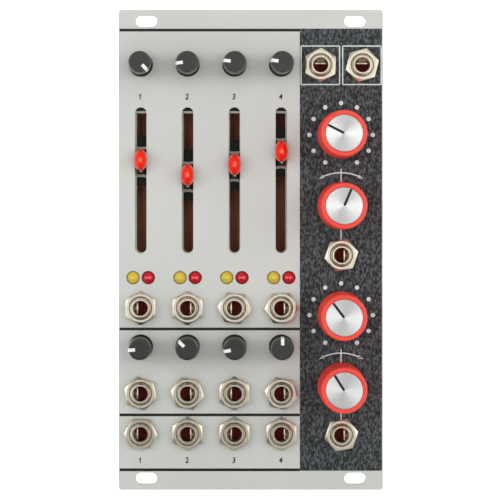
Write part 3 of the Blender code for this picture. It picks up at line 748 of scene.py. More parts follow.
class Stand:
    """The way pieces are stood up, from the face frame to the row frame, and their materials."""

    def __init__(self) -> None:
        """Read the panel's place from the frame and make every material."""
        low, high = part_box("front_panel")
        self.middle = (low.z + high.z) / 2
        self.face = -low.y
        self.floor = low.z
        self.matrix = Matrix.Translation((0, 0, self.middle)) @ Matrix.Rotation(math.radians(90), 4, "X")
        self.materials = {finish: finish.value.material() for finish in Finish}

    def span(self, node: str) -> tuple[Vector, Vector]:
        """Lowest and highest corner of a CAD node, in the face frame."""
        low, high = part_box(node)
        return (Vector((low.x, low.z - self.middle, -high.y)),
                Vector((high.x, high.z - self.middle, -low.y)))

    def axis(self, node: str) -> Point:
        """Middle of a CAD node's outline on the face."""
        low, high = self.span(node)
        return ((low.x + high.x) / 2, (low.y + high.y) / 2)

    def piece(self, name: str, shape: Shape, finish: Finish, slot: str, body: str = ROOT,
              nodes: tuple[str, ...] = (), at: Point = (0.0, 0.0), turn: float = 0.0,
              bevel: float = 0.0, smooth: float = 35.0) -> None:
        """Make an object of a shape, stand it up and let it ride.

        Args:
            name: The piece's name.
            shape: Its mesh in the face frame.
            finish: What it is made of.
            slot: The record's material slot it belongs to; not used.
            body: The body it rides on.
            nodes: CAD nodes it stands for.
            at: Its place on the face.
            turn: Clockwise turn in degrees.
            bevel: Width of its rounded edges.
            smooth: Angle in degrees under which edges are smooth.
        """
        mesh = bpy.data.meshes.new(name)
        shape.mesh.to_mesh(mesh)
        shape.mesh.free()
        mesh.materials.append(self.materials[finish])
        made = linked(name, mesh)
        place = Matrix.Translation((*at, 0)) @ Matrix.Rotation(-math.radians(turn), 4, "Z")
        made.matrix_world = self.matrix @ place
        mesh.shade_smooth()
        mesh.set_sharp_from_angle(angle=math.radians(smooth))
        if bevel:
            edge = made.modifiers.new("edge", "BEVEL")
            edge.width, edge.segments, edge.limit_method = bevel, BEVEL_STEPS, "ANGLE"
            edge.angle_limit = math.radians(BEVEL_FROM)
            edge.harden_normals = True
        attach(made, body)
        if nodes:
            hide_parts(*nodes)
        LOG.info("%s rides on %s", name, body)


@dataclass
class Part:
    """A sub-assembly that takes a CAD node's place. Its first piece stands for the node."""

    stand: Stand
    node: str
    slot: str = "circuit_board"
    body: str = ROOT
    turn: float = 0.0

    def __post_init__(self) -> None:
        """Read the node's corners, size and middle."""
        self.low, self.high = self.stand.span(self.node)
        self.size = self.high - self.low
        self.at = self.stand.axis(self.node)
        self.stands_for: tuple[str, ...] = (self.node,)

    def add(self, suffix: str, shape: Shape, finish: Finish, turn: float = 0.0, bevel: float = 0.0,
            smooth: float = 35.0) -> None:
        """Stand up one of the node's pieces.

        Args:
            suffix: End of its name, after the node's.
            shape: Its mesh.
            finish: What it is made of.
            turn: Clockwise turn in degrees, added to the part's own.
            bevel: Width of its rounded edges.
            smooth: Angle in degrees under which edges are smooth.
        """
        self.stand.piece(f"{self.node}_{suffix}", shape, finish, self.slot, self.body, self.stands_for,
                         self.at, self.turn + turn, bevel, smooth)
        self.stands_for = ()


@dataclass(frozen=True)
class Fitting:
    """What a control needs: its solder joints, hole in the panel, and its pot's height, depth and bore."""

    joints: tuple[Point, ...]
    hole: float = 0.0
    sides: int = 48
    pot: Triple | None = None


class Control(Enum):
    """Kinds of controls on the panel."""

    SMALL_KNOB = Fitting(((-0.0025, -0.0035), (0, -0.0035), (0.0025, -0.0035)), 0.00328,
                         pot=(0.0095, 0.0056, 0.0018))
    LARGE_KNOB = Fitting(((-0.0025, -0.0045), (0, -0.0045), (0.0025, -0.0045)), 0.0033, 40,
                         (0.0110, 0.0066, 0.0033))
    JACK = Fitting(((0, 0.0047), (0, -0.0035), (-0.003, -0.0048)), 0.00312)
    LED = Fitting(((-0.0009, 0), (0.0009, 0)), 0.0018, 32)
    FADER = Fitting(((-0.003, -0.0208), (-0.003, 0.0208), (0.003, -0.0208), (0.003, 0.0208)))


SIGNS = (("jack", Control.JACK), ("_led_", Control.LED), ("fader_frame", Control.FADER),
         ("_knob_", Control.SMALL_KNOB), ("_knob", Control.LARGE_KNOB))


def controls() -> list[tuple[str, Fitting]]:
    """List the nodes that are controls, by name.

    Returns:
        Each one's name and what it needs.
    """
    kinds = ((node, [kind.value for sign, kind in SIGNS if sign in node]) for node in sorted(frame["nodes"]))
    return [(node, found[0]) for node, found in kinds if found]


# The face

@dataclass
class Face(Part):
    """The front panel with its prints."""

    slot: str = "panel_paint"
    thick: float = 0.0020
    corner: float = 0.0008
    edge: float = 0.00014
    rail_slot: Point = (0.0057, 0.00308)
    rail_place: Point = (0.02794, 0.06125)
    fader_slot: Point = (0.0031, 0.0391)
    fader_row: float = 0.01861
    ink: float = SKIN
    line: float = 0.00074
    line_rows: tuple[float, ...] = (0.0588, -0.0212, -0.0442, -0.0589)
    line_left: float = -0.0351
    field_left: float = 0.01313
    field_right: float = 0.0351
    field_top: float = 0.0592
    field_low: float = -0.05915
    fine_line: float = 0.00031
    frame_half: float = 0.00515
    dot: float = 0.00059
    dot_circle: float = 0.0085
    dot_sides: int = 20
    dots: int = 11
    dot_reach: float = 150.0
    arc_radius: float = 0.0117
    arc_rise: float = 0.00885
    arc_half: float = 30.4
    arc_gap: float = 3.0
    arc_steps: int = 40
    arrow_length: float = 7.0
    arrow_half: float = 0.00045
    upright_start: float = 0.0099
    upright_gap: float = 0.004
    number_size: float = 0.0020874
    number_lean: float = 0.13
    number_weight: float = 0.000055
    number_rows: Point = (0.0409, -0.0564)
    number_shift: float = -0.0002
    number_width: float = 0.86
    flag: tuple[Point, ...] = ((-0.00040, 0.00016), (-0.00036, 0.00034), (0.00016, 0.00068),
                               (0.00018, 0.00040))

    def holes(self, margin: float = 0.0) -> list[list[Point]]:
        """Outlines of the round holes, widened by a margin."""
        return [circle(kind.hole + margin, kind.sides, self.stand.axis(node))
                for node, kind in controls() if kind.hole]

    def build(self) -> None:
        """Make the plate and everything printed on it."""
        outlines = [rounded(self.size.x, self.size.y, self.corner)]
        for a, b in CORNERS:
            outlines.append(oblong(*self.rail_slot, (self.rail_place[0] * a, self.rail_place[1] * b), 40))
        for i in range(CHANNELS):
            x = self.stand.axis(f"fader_frame_{i + 1}")[0]
            outlines.append(oblong(*self.fader_slot, (x, self.fader_row)))
        plate = Shape().plate(outlines + self.holes(), 0.0, self.thick)
        self.stand.piece("panel_plate", plate, Finish.PANEL, self.slot, nodes=self.stands_for,
                         bevel=self.edge, smooth=30)
        self.print_field()
        self.print_rules()
        self.print_marks()
        self.print_numbers()

    def print_field(self) -> None:
        """Print the charcoal field with the holes that go through it."""
        width, height = self.field_right - self.field_left, self.field_top - self.field_low
        middle = ((self.field_left + self.field_right) / 2, (self.field_top + self.field_low) / 2)
        holes = [hole for hole in self.holes(self.ink * 2) if hole[0][0] > self.field_left]
        outline = rounded(width, height, self.ink * 3, middle, 2)
        field = Shape().plate([outline] + holes, self.thick, self.ink)
        self.stand.piece("print_charcoal_field", field, Finish.CHARCOAL, self.slot)

    def print_rules(self) -> None:
        """Print the black rules."""
        black = Shape()
        for row in self.line_rows:
            black.strip([(self.line_left, row), (self.field_left, row)], self.line, self.ink, self.thick)
        self.stand.piece("print_black_rules", black, Finish.BLACK_INK, self.slot)

    def print_marks(self) -> None:
        """Print the white frames, dots, arcs with arrows and upright lines."""
        white, top = Shape(), self.thick + self.ink
        for node in ("left_output_jack", "right_output_jack"):
            x, y = self.stand.axis(node)
            corners = [(x + self.frame_half * a, y + self.frame_half * b) for a, b in SQUARE]
            for start, end in zip(corners, corners[1:] + corners[:1]):
                white.strip([start, end], self.fine_line, self.ink, top)
        for node in ("width_knob", "center_knob"):
            centre, reach = self.stand.axis(node), self.dot_reach
            for spot in arc(self.dot_circle, -reach, reach, self.dots - 1, centre):
                white.prism(circle(self.dot, self.dot_sides, spot), top, top + self.ink)
        for body in ("width_cv", "center_cv"):
            x, y = self.stand.axis(f"{body}_knob")
            pivot, half = (x, y + self.arc_rise - self.arc_radius), self.arc_half
            line = arc(self.arc_radius, self.arc_gap - half, half - self.arc_gap, self.arc_steps, pivot)
            white.strip(line, self.fine_line, self.ink, top)
            for side in SIDES:
                back, wide = side * (half - self.arrow_length), side * self.arrow_half
                tips = ((0.0, side * half), (-wide, back), (wide, back))
                head = [arc(self.arc_radius + out, turn, 0, 1, pivot)[0] for out, turn in tips]
                white.prism(head, top, top + self.ink)
            start, end = y + self.upright_start, self.stand.axis(f"{body}_jack")[1] + self.upright_gap
            white.strip([(x, start), (x, end)], self.fine_line, self.ink, top + self.ink / 2)
        self.stand.piece("print_white_marks", white, Finish.WHITE_INK, self.slot)

    def print_numbers(self) -> None:
        """Print the channel numbers above the faders and under the inputs."""
        for row, height in enumerate(self.number_rows):
            for i in range(CHANNELS):
                curve = bpy.data.curves.new("number", "FONT")
                curve.body = str(i + 1)
                curve.size, curve.shear = self.number_size, self.number_lean
                curve.offset = self.number_weight
                curve.align_x, curve.align_y = "CENTER", "CENTER"
                curve.extrude, curve.resolution_u = self.ink / 2, 6
                shape = Shape(filled(curve, self.thick + self.ink / 2))
                bmesh.ops.scale(shape.mesh, vec=(self.number_width, 1, 1), verts=shape.mesh.verts)
                if i == 0:
                    shape.prism(list(self.flag), self.thick, self.thick + self.ink)
                x = self.stand.axis(f"fader_frame_{i + 1}")[0] + self.number_shift
                self.stand.piece(f"print_number_{row + 1}_{i + 1}", shape, Finish.BLACK_INK, self.slot,
                                 at=(x, height), smooth=20)


# Knobs

@dataclass
class Knob(Part):
    """What both kinds of knobs share: they stand turned as their joint's range says."""

    def __post_init__(self) -> None:
        """Read how far clockwise the knob stands from straight up."""
        super().__post_init__()
        joint = next(j for j in frame["joints"] if j["name"] == f"{self.body}_turn")
        self.turn = -sum(joint["range_deg"]) / 2


@dataclass
class SmallKnob(Knob):
    """A dark knob in one piece with its shaft, coned at its top, and its white pointer."""

    slot: str = "dark_knob"
    foot: float = -0.0041
    base: float = 0.00316
    shoulder: float = 0.00312
    crown: float = 0.00276
    cone: float = 0.0040
    groove: float = 0.0005
    stem: float = 0.0015
    edge: float = 0.0002
    bevel: float = 0.00015
    dish: float = 0.00004
    pointer_width: float = 0.00088
    pointer_start: float = 0.0011
    pointer_rise: float = 0.00004
    pointer_sunk: float = 0.0003
    pointer_reach: float = 0.93

    def build(self) -> None:
        """Make the knob, its lower side in painted shade, and its pointer."""
        low, top, base, edge, foot = self.low.z, self.high.z, self.base, self.edge, self.foot
        waist = top - self.cone
        seam = waist - self.groove
        profile = [(0.0, seam), (self.shoulder - 0.00004, seam), (self.shoulder + 0.00001, seam + 0.0002),
                   (self.shoulder, waist), *rolled(self.crown, top, self.bevel, 5),
                   (self.crown * 0.72, top - self.dish * 0.5), (self.crown * 0.4, top - self.dish),
                   (0.0, top - self.dish)]
        skirt = [(0.0, low), (self.stem - edge, low), (self.stem, low + edge), (self.stem, foot),
                 (base - edge, foot), (base, foot + edge), (self.shoulder + 0.00002, seam - 0.0001),
                 (self.shoulder - 0.00006, seam), (0.0, seam)]
        self.add("body", Shape().lathe(profile), Finish.DARK_KNOB)
        # The lower side is the body's own plastic, finished near black as painted shade.
        self.add("skirt", Shape().lathe(skirt), Finish.KNOB_PAINTED_SHADE)
        self.pointer(top)

    def pointer(self, top: float) -> None:
        """Inlay the pointer from near the middle, over the rim and a little down the side.

        Args:
            top: Height of the knob's top.
        """
        half, rise, sunk = self.pointer_width / 2, self.pointer_rise, self.pointer_sunk
        side = self.crown + (self.shoulder - self.crown) * self.pointer_reach
        line = [(self.pointer_start, top, 0, rise), (self.crown - self.bevel * 1.4, top, 0, rise),
                (self.crown - self.bevel * 0.3, top - self.bevel * 0.3, rise, rise),
                (self.crown, top - self.bevel, rise, 0),
                (side, top - self.cone * self.pointer_reach, rise, 0)]
        rings = []
        for out, height, over, up in line:
            inner = out if out == self.pointer_start else out - sunk
            rings.append([(half, inner, height - sunk), (half, out + over, height + up),
                          (-half, out + over, height + up), (-half, inner, height - sunk)])
        self.add("pointer", Shape().loops(rings).mend(), Finish.POINTER, smooth=40)


@dataclass
class LargeKnob(Knob):
    """A red ribbed knob with its shaft and a recess for its cap."""

    slot: str = "red_knob"
    base: float = 0.0064
    crown: float = 0.00615
    shaft: float = 0.0030
    lift: float = 0.0008
    rim: float = 0.0005
    recess: float = 0.0013
    fit: float = SKIN
    ribs: int = 54
    rib_depth: float = 0.00022

    def build(self) -> None:
        """Make the knob and its cap."""
        top, skirt, rim = self.high.z, self.stand.face + self.lift, self.rim
        seat = top - self.recess
        cap = KnobCap(self.stand, f"{self.body}_cap", body=self.body, turn=self.turn, top=top, seat=seat)
        wall = cap.radius + self.fit
        profile = [(0.0, self.low.z), (self.shaft, self.low.z), (self.shaft, skirt), (self.base - rim, skirt),
                   (self.base, skirt + rim * 0.7), (self.base, skirt + rim * 1.6),
                   (self.base - 0.00004, skirt + rim * 2.2), (self.crown, top - rim * 2.6),
                   (self.crown, top - rim * 1.8), (self.crown - 0.00006, top - rim * 0.9),
                   *rolled(self.crown - 0.0001, top, rim * 0.7, 4),
                   (wall + 0.00005, top), (wall, top - 0.00005), (wall, seat), (0.0, seat)]
        knob = Shape().lathe(profile, self.ribs * 4, self.rib_depth, range(6, 12))
        self.add("body", knob, Finish.RED_KNOB, smooth=50)
        cap.build()


@dataclass
class KnobCap(Part):
    """A spun aluminium cap with fine rings and a black line."""

    slot: str = "turned_aluminium"
    top: float = 0.0
    seat: float = 0.0
    radius: float = 0.00485
    edge: float = 0.0002
    sides: int = 96
    groove_pitch: float = 0.00022
    groove_depth: float = 0.000008
    groove: tuple[float, ...] = (0.0, 0.5, 1.0, 0.5)
    line_width: float = 0.00068
    line_gap: float = 0.00005

    def build(self) -> None:
        """Turn the cap and inlay its line."""
        top, edge, part = self.top, self.edge, len(self.groove)
        reach = self.radius - edge
        rings = [(0.0, self.seat), (self.radius, self.seat), (self.radius, top - edge),
                 (self.radius - edge * 0.3, top - edge * 0.3), (reach, top)]
        rings += [(reach - i * self.groove_pitch / part, top - self.groove_depth * self.groove[i % part])
                  for i in range(1, int(reach / self.groove_pitch) * part)]
        self.add("disc", Shape().lathe(rings, self.sides), Finish.SPUN, smooth=30)
        reach = self.radius - self.line_gap
        outline = oblong(self.line_width, reach, (0.0, reach / 2), 16)
        self.add("line", Shape().prism(outline, top - edge, top + SKIN), Finish.BLACK_INK)


# Faders

@dataclass
class FaderFrame(Part):
    """The sheet steel channel of a fader with its mouth, the mouth's lip and the track inside; its cover is
    in painted shade and its lip in painted light.
    """

    slot: str = "steel_sheet"
    shift: float = 0.0
    sheet: float = 0.0005
    mouth_width: float = 0.0026
    mouth_top: float = 0.0180
    mouth_low: float = -0.0193
    lip_side: float = 0.0008
    lip_above: float = 0.0006
    lip_thick: float = 0.00016
    gap: float = 0.00002
    cover_corner: float = 0.0004
    wall_corner: float = 0.0006
    inner_corner: float = 0.0002
    lip_edge: float = 0.00005
    wall_edge: float = 0.0001
    strip_place: float = 0.0012

    def mouth(self, side: float = 0.0, above: float = 0.0) -> list[Point]:
        """Outline the cover's mouth, square at its top and round below.

        Args:
            side: How much it is widened at each side and below.
            above: How much it is widened at its top.

        Returns:
            The outline's points.
        """
        half, top = self.mouth_width / 2 + side, self.mouth_top + above
        turn = self.mouth_low - side + half
        return [(self.shift + half, top), (self.shift - half, top),
                *arc(half, -90, -270, 12, (self.shift, turn))]

    def build(self) -> None:
        """Make the cover, the lip, the walls and the track board with its two strips."""
        width, length, sheet = self.size.x, self.size.y, self.sheet
        low, roof = self.low.z, self.high.z - sheet
        cover = Shape().plate([rounded(width, length, self.cover_corner), self.mouth()], roof, sheet)
        # The cover is the channel's own steel, finished near black as painted shade.
        self.add("cover", cover, Finish.COVER_PAINTED_SHADE)
        # The lip is a pale ring round the mouth: painted light where the sheet catches the light.
        rim = [self.mouth(self.lip_side, self.lip_above), self.mouth()]
        lip = Shape().plate(rim, -self.lip_thick - self.gap, self.lip_thick)
        self.add("lip", lip, Finish.LIP_PAINTED_LIGHT, bevel=self.lip_edge)
        inner = (width - 2 * sheet, length - 2 * sheet)
        section = [rounded(width, length, self.wall_corner), rounded(*inner, self.inner_corner)]
        self.add("walls", Shape().plate(section, low, roof - low), Finish.STEEL, bevel=self.wall_edge)
        track = Shape().block((*inner, sheet), (0, 0, low + sheet / 2))
        for side in SIDES:
            track.block((sheet, length - 4 * sheet, self.gap),
                        (side * self.strip_place, 0, low + sheet + self.gap / 2))
        self.add("track", track, Finish.TRACK)


@dataclass
class Carriage(Part):
    """A fader's carriage: slider, neck, arched dust shield with two ribs, and a small pale block under the
    lens that is a painted highlight.
    """

    slot: str = "black_plastic"
    slider: Point = (0.0080, 0.0044)
    neck_width: float = 0.0018
    neck_ends: Point = (-0.0038, 0.0029)
    neck_foot: float = 0.0042
    shield_width: float = 0.0050
    shield_length: float = 0.0134
    shield_thick: float = 0.0004
    shield_crest: float = -0.00125
    shield_arch: float = 0.0004
    corner: float = 0.0004
    edge: float = 0.0002
    bars: tuple[Point, ...] = ((0.00335, -0.00025), (-0.00435, 0.0003))
    bar_size: Point = (0.0042, 0.00085)
    bar_section: tuple[Point, ...] = ((-1, -0.0008), (-1, -0.0004), (-0.6, -0.00028), (0.6, -0.00028),
                                      (1, -0.0004), (1, -0.0008))
    highlight_chip_size: Triple = (0.0006, 0.0003, 0.0003)
    highlight_chip_place: Point = (0.0001, -0.0030)
    highlight_chip_edge: float = 0.00008

    def build(self) -> None:
        """Make the carriage's pieces."""
        low, top = self.low.z, self.high.z
        slider = Shape().block((self.size.x, *self.slider), (0, 0, low + self.slider[1] / 2))
        self.add("slider", slider, Finish.BLACK_PLASTIC, bevel=self.edge)
        start, end = self.neck_ends
        outline = rounded(self.neck_width, end - start, self.corner, (0.0, (start + end) / 2), 3)
        self.add("neck", Shape().prism(outline, low + self.neck_foot, top, self.edge), Finish.SHIELD)
        rings = []
        for share in (i / 8 - 1 for i in range(17)):
            x, y = self.shield_width / 2, self.shield_length / 2 * share
            under = self.shield_crest - self.shield_arch * share ** 2
            over = under + self.shield_thick
            rings.append([(x, y, under), (x, y, over), (-x, y, over), (-x, y, under)])
        self.add("shield", Shape().loops(rings).mend(), Finish.SHIELD)
        bars, (half, tall) = Shape(), (self.bar_size[0] / 2, self.bar_size[1] / 2)
        for row, bow in self.bars:
            bars.loops([[(share * half, row + bow * (1 - 2 * share * share) + a * tall, z)
                         for a, z in self.bar_section] for share in (i / 4 - 1 for i in range(9))])
        self.add("bars", bars.mend(), Finish.GUIDE)
        # A small pale block just below the lens: a painted highlight.
        painted_highlight_chip = Shape().block(self.highlight_chip_size, (*self.highlight_chip_place, top))
        self.add("painted_highlight_chip", painted_highlight_chip, Finish.PAINTED_HIGHLIGHT_CHIP, bevel=self.highlight_chip_edge)


@dataclass
class FaderLens(Part):
    """The lit oval lens: a rolled foot, a waist and a dome."""

    slot: str = "red_lens"
    width: float = 0.00352
    length: float = 0.0056
    sides: int = 48
    fullness: float = 0.88
    dome_fullness: float = 0.85
    tip: float = 0.001
    waist: Point = (0.93, 0.24)
    foot: tuple[Point, ...] = ((0.86, 0.0), (0.97, 0.04), (1.0, 0.12), (0.985, 0.2))

    def build(self) -> None:
        """Make the lens."""
        share, level = self.waist
        rings = [*self.foot, self.waist]
        for angle in (math.radians(90 * step / 8) for step in range(1, 9)):
            rings.append((share * math.cos(angle) ** self.dome_fullness + self.tip,
                          level + (1 - level) * math.sin(angle)))
        full = [[math.copysign(abs(v) ** self.fullness, v) for v in point]
                for point in circle(1.0, self.sides)]
        x, y, low, rise = self.width / 2, self.length / 2, self.low.z, self.size.z
        dome = Shape().loops([[(x * share * a, y * share * b, low + rise * level) for a, b in full]
                              for share, level in rings])
        self.add("dome", dome, Finish.LENS, smooth=60)


# Jacks and LEDs

class Spring(Enum):
    """Where a jack's spring lies: degrees clockwise from up, and its crest's distance from the middle."""

    LEFT = (-90.0, 0.00085)
    RIGHT = (90.0, 0.00085)
    TOP = (0.0, 0.00045)


@dataclass
class Jack(Part):
    """A 3.5 mm jack: housing, threaded barrel, nut, lining and contact spring."""

    slot: str = "nickel"
    nut_turn: float = 0.0
    spring: Spring = Spring.LEFT
    housing: Point = (0.0090, 0.0105)
    housing_front: float = -0.0003
    corner: float = 0.0005
    edge: float = 0.00025
    well: float = 0.0006
    flats: float = 0.0040
    nut_thick: float = 0.0018
    nut_lift: float = 0.00004
    nut_lead: float = 0.00015
    nut_edge: float = 0.00006
    nut_sides: int = 72
    barrel: float = 0.0030
    barrel_rear: float = -0.0005
    barrel_sides: int = 48
    straight: float = 0.0030
    bore: float = 0.00192
    mouth: float = 0.00208
    thread: float = 0.00012
    pitch: float = 0.0005
    thread_end: float = 0.0012
    depth: float = 0.0090
    lining: float = 0.0002
    lining_rear: float = -0.0006
    lining_sides: int = 40
    crest_depth: float = 0.0022
    leaf: float = 0.00145
    leaf_thick: float = 0.0001
    leaf_top: float = 0.75
    leaf_least: float = 0.0000003
    tip_edge: float = 0.00048
    tip_drop: float = 0.0006
    chamfer_from: float = 0.00375
    chamfer_slope: float = 0.5

    def build(self) -> None:
        """Make the housing behind the panel and the other pieces."""
        outlines = [rounded(*self.housing, self.corner), circle(self.barrel - self.well, 24)]
        housing = Shape().plate(outlines, self.low.z, self.housing_front - self.low.z)
        self.add("housing", housing, Finish.BLACK_PLASTIC, bevel=self.edge)
        self.make_barrel()
        self.make_nut()
        self.make_inside()

    def make_barrel(self) -> None:
        """Turn the threaded barrel: wall, rounded lip and thread rings."""
        tip, bore, rear, root = self.high.z, self.bore, self.barrel_rear, self.barrel - self.thread
        lead = tip - (self.mouth - bore)
        rings = [(bore, rear), (root, rear)]
        height = self.housing_front
        while height < tip - self.thread_end:
            rings += [(root, height), (self.barrel, height + self.pitch / 2)]
            height += self.pitch
        rings += [(root, tip - self.tip_drop), (root - self.tip_edge, tip), (self.mouth, tip),
                  (bore + SKIN, lead), (bore, lead - SKIN * 2), (bore, tip - self.straight), (bore, rear)]
        barrel = Shape().loops([ring(*point, self.barrel_sides) for point in rings], closed=False)
        self.add("barrel", barrel.mend(MERGE), Finish.NICKEL, smooth=40)

    def make_nut(self) -> None:
        """Make the hexagonal nut, its corners turned off in front, with its threaded bore."""
        face, hole, sides = self.stand.face + self.nut_lift, self.barrel + SKIN, self.nut_sides
        top = face + self.nut_thick
        hexagon, crown = [], []
        for i, (x, y) in enumerate(circle(1.0, sides)):
            reach = self.flats / math.cos(math.radians((360 * i / sides + 30) % 60 - 30))
            drop = (reach - self.chamfer_from) * self.chamfer_slope
            hexagon.append(Vector((x * reach, y * reach, face)))
            crown.append(Vector((x * reach, y * reach, top - drop)))
        lead = self.nut_lead
        bore = [ring(*point, sides) for point in
                ((self.chamfer_from, top), (hole + lead, top), (hole, top - lead), (hole, face))]
        nut = Shape().loops([hexagon, crown, *bore, hexagon], closed=False).mend(MERGE)
        self.add("nut", nut, Finish.NICKEL, self.nut_turn, self.nut_edge, 20)

    def make_inside(self) -> None:
        """Make the bore's lining, its end and the bowed contact spring on its side."""
        tip, wall, bottom = self.high.z, self.bore + self.lining, self.high.z - self.depth
        top, low, end = (ring(*point, self.lining_sides) for point in
                         ((wall, self.lining_rear), (wall, bottom), (LEAST_RADIUS, bottom)))
        # The lining takes the darker copy of the nickel: painted shade in the deep bore.
        self.add("lining", Shape().loops([top, low], closed=False), Finish.NICKEL_PAINTED_SHADE)
        self.add("end", Shape().loops([low, end], closed=False), Finish.JACK_INSIDE)
        turn, near = self.spring.value
        run, thick, share = self.bore - near, self.leaf_thick, self.leaf_top
        bow = ((-0.00012, 0.0012), (-0.0003, 0.0005), (-0.00024, 0.00016), (-0.0001, SKIN), (0.00008, 0.0),
               (0.00024, 0.0001), (0.00034, 0.0003), (run * 0.6, 0.0008), (run, 0.0011))
        rings = []
        for reach, height in ((near + out, tip - self.crest_depth - drop) for out, drop in bow):
            half = min(self.leaf, math.sqrt(max(self.bore ** 2 - reach ** 2, self.leaf_least)))
            back = (reach + thick, height - 2 * thick)
            rings.append([(half, reach, height - thick), (half * share, reach, height),
                          (-half * share, reach, height), (-half, reach, height - thick),
                          (-half, *back), (half, *back)])
        self.add("spring", Shape().loops(rings).mend(), Finish.CONTACT, turn, smooth=60)


@dataclass
class Led(Part):
    """A 3 mm LED: tinted dome with its flange, and its legs down to the board."""

    radius: float = 0.00177
    length: float = 0.0053
    flange: Point = (0.0019, 0.001)
    edge: float = 0.0001
    leg: float = 0.0005
    leg_place: float = 0.0009
    leg_sunk: float = 0.0002
    leg_edge: float = 0.00005
    sides: int = 40

    def build(self) -> None:
        """Make the lens and its legs."""
        low, top, (wide, thick), edge = self.low.z, self.high.z, self.flange, self.edge
        foot = top - self.length
        rings = [(0.0, foot), (wide - edge, foot), (wide, foot + edge), (wide, foot + thick - edge),
                 (wide - edge, foot + thick), (self.radius, foot + thick), (self.radius, top - self.radius)]
        rings += rolled(self.radius, top, self.radius, 8, 1)
        self.add("lens", Shape().lathe(rings, self.sides), Finish[self.slot.upper()], smooth=50)
        legs, size = Shape(), (self.leg, self.leg, foot - low + self.leg_sunk)
        for side in SIDES:
            legs.block(size, (side * self.leg_place, 0, (foot + low) / 2))
        self.add("legs", legs, Finish.TIN, bevel=self.leg_edge)


# Boards

@dataclass
class Board(Part):
    """A circuit board: bare plate with metal rings round its spacer holes."""

    front: float = 0.0
    thick: float = 0.0016
    corner: float = 0.0012
    hole: float = 0.0016
    pad: float = 0.0028
    pad_margin: float = 0.0001
    edge: float = 0.0001

    def make_plate(self) -> None:
        """Make the board and its rings."""
        self.at, self.rear = (0.0, 0.0), self.front - self.thick
        places = [self.stand.axis(f"spacer_{i + 1}") for i in range(4)]
        outlines = [circle(self.hole, 32, place) for place in places]
        outlines.insert(0, rounded(self.size.x, self.size.y, self.corner))
        self.add("plate", Shape().plate(outlines, self.rear, self.thick), Finish.MASK, bevel=self.edge)
        rings = Shape()
        for place in places:
            outlines = [circle(radius, 32, place) for radius in (self.pad, self.hole + self.pad_margin)]
            rings.plate(outlines, self.rear - SKIN, SKIN)
        self.add("rings", rings, Finish.GOLD)


@dataclass
class ControlBoard(Board):
    """The board behind the panel with the twelve pots, and the solder joints on its rear."""

    front: float = -0.0100
    pot_width: float = 0.0095
    cover: float = 0.0008
    joint: tuple[Point, ...] = ((0.0003, -0.0009), (0.00045, -0.0005), (0.0008, 0.0))

    def build(self) -> None:
        """Make the board, the pots and the solder joints."""
        self.make_plate()
        joints = Shape()
        for node, kind in controls():
            x, y = self.stand.axis(node)
            if kind.pot:
                self.pot(node, *kind.pot)
            for a, b in kind.joints:
                joints.loops([ring(radius, self.rear + height, 12, (x + a, y + b))
                              for radius, height in self.joint])
        self.add("solder", joints, Finish.TIN)

    def pot(self, node: str, tall: float, depth: float, bore: float) -> None:
        """Make a pot's housing and its cover plate.

        Args:
            node: The knob it belongs to.
            tall: Its height up the panel.
            depth: From the board to its front.
            bore: Radius of the hole for the shaft.
        """
        name, roof = node.replace("knob", "pot"), depth - self.cover
        for suffix, finish, inset, corner, sides, low, thick, bevel in (
                ("base", Finish.POT_BODY, 0.0, 0.0006, 24, 0.0, roof, 0.0002),
                ("cover", Finish.STEEL, 0.0002, 0.0005, 32, roof, self.cover, 0.00015)):
            outline = rounded(self.pot_width - inset, tall - inset, corner)
            shape = Shape().plate([outline, circle(bore, sides)], self.front + low, thick)
            self.stand.piece(f"{name}_{suffix}", shape, finish, self.slot, at=self.stand.axis(node),
                             bevel=bevel)


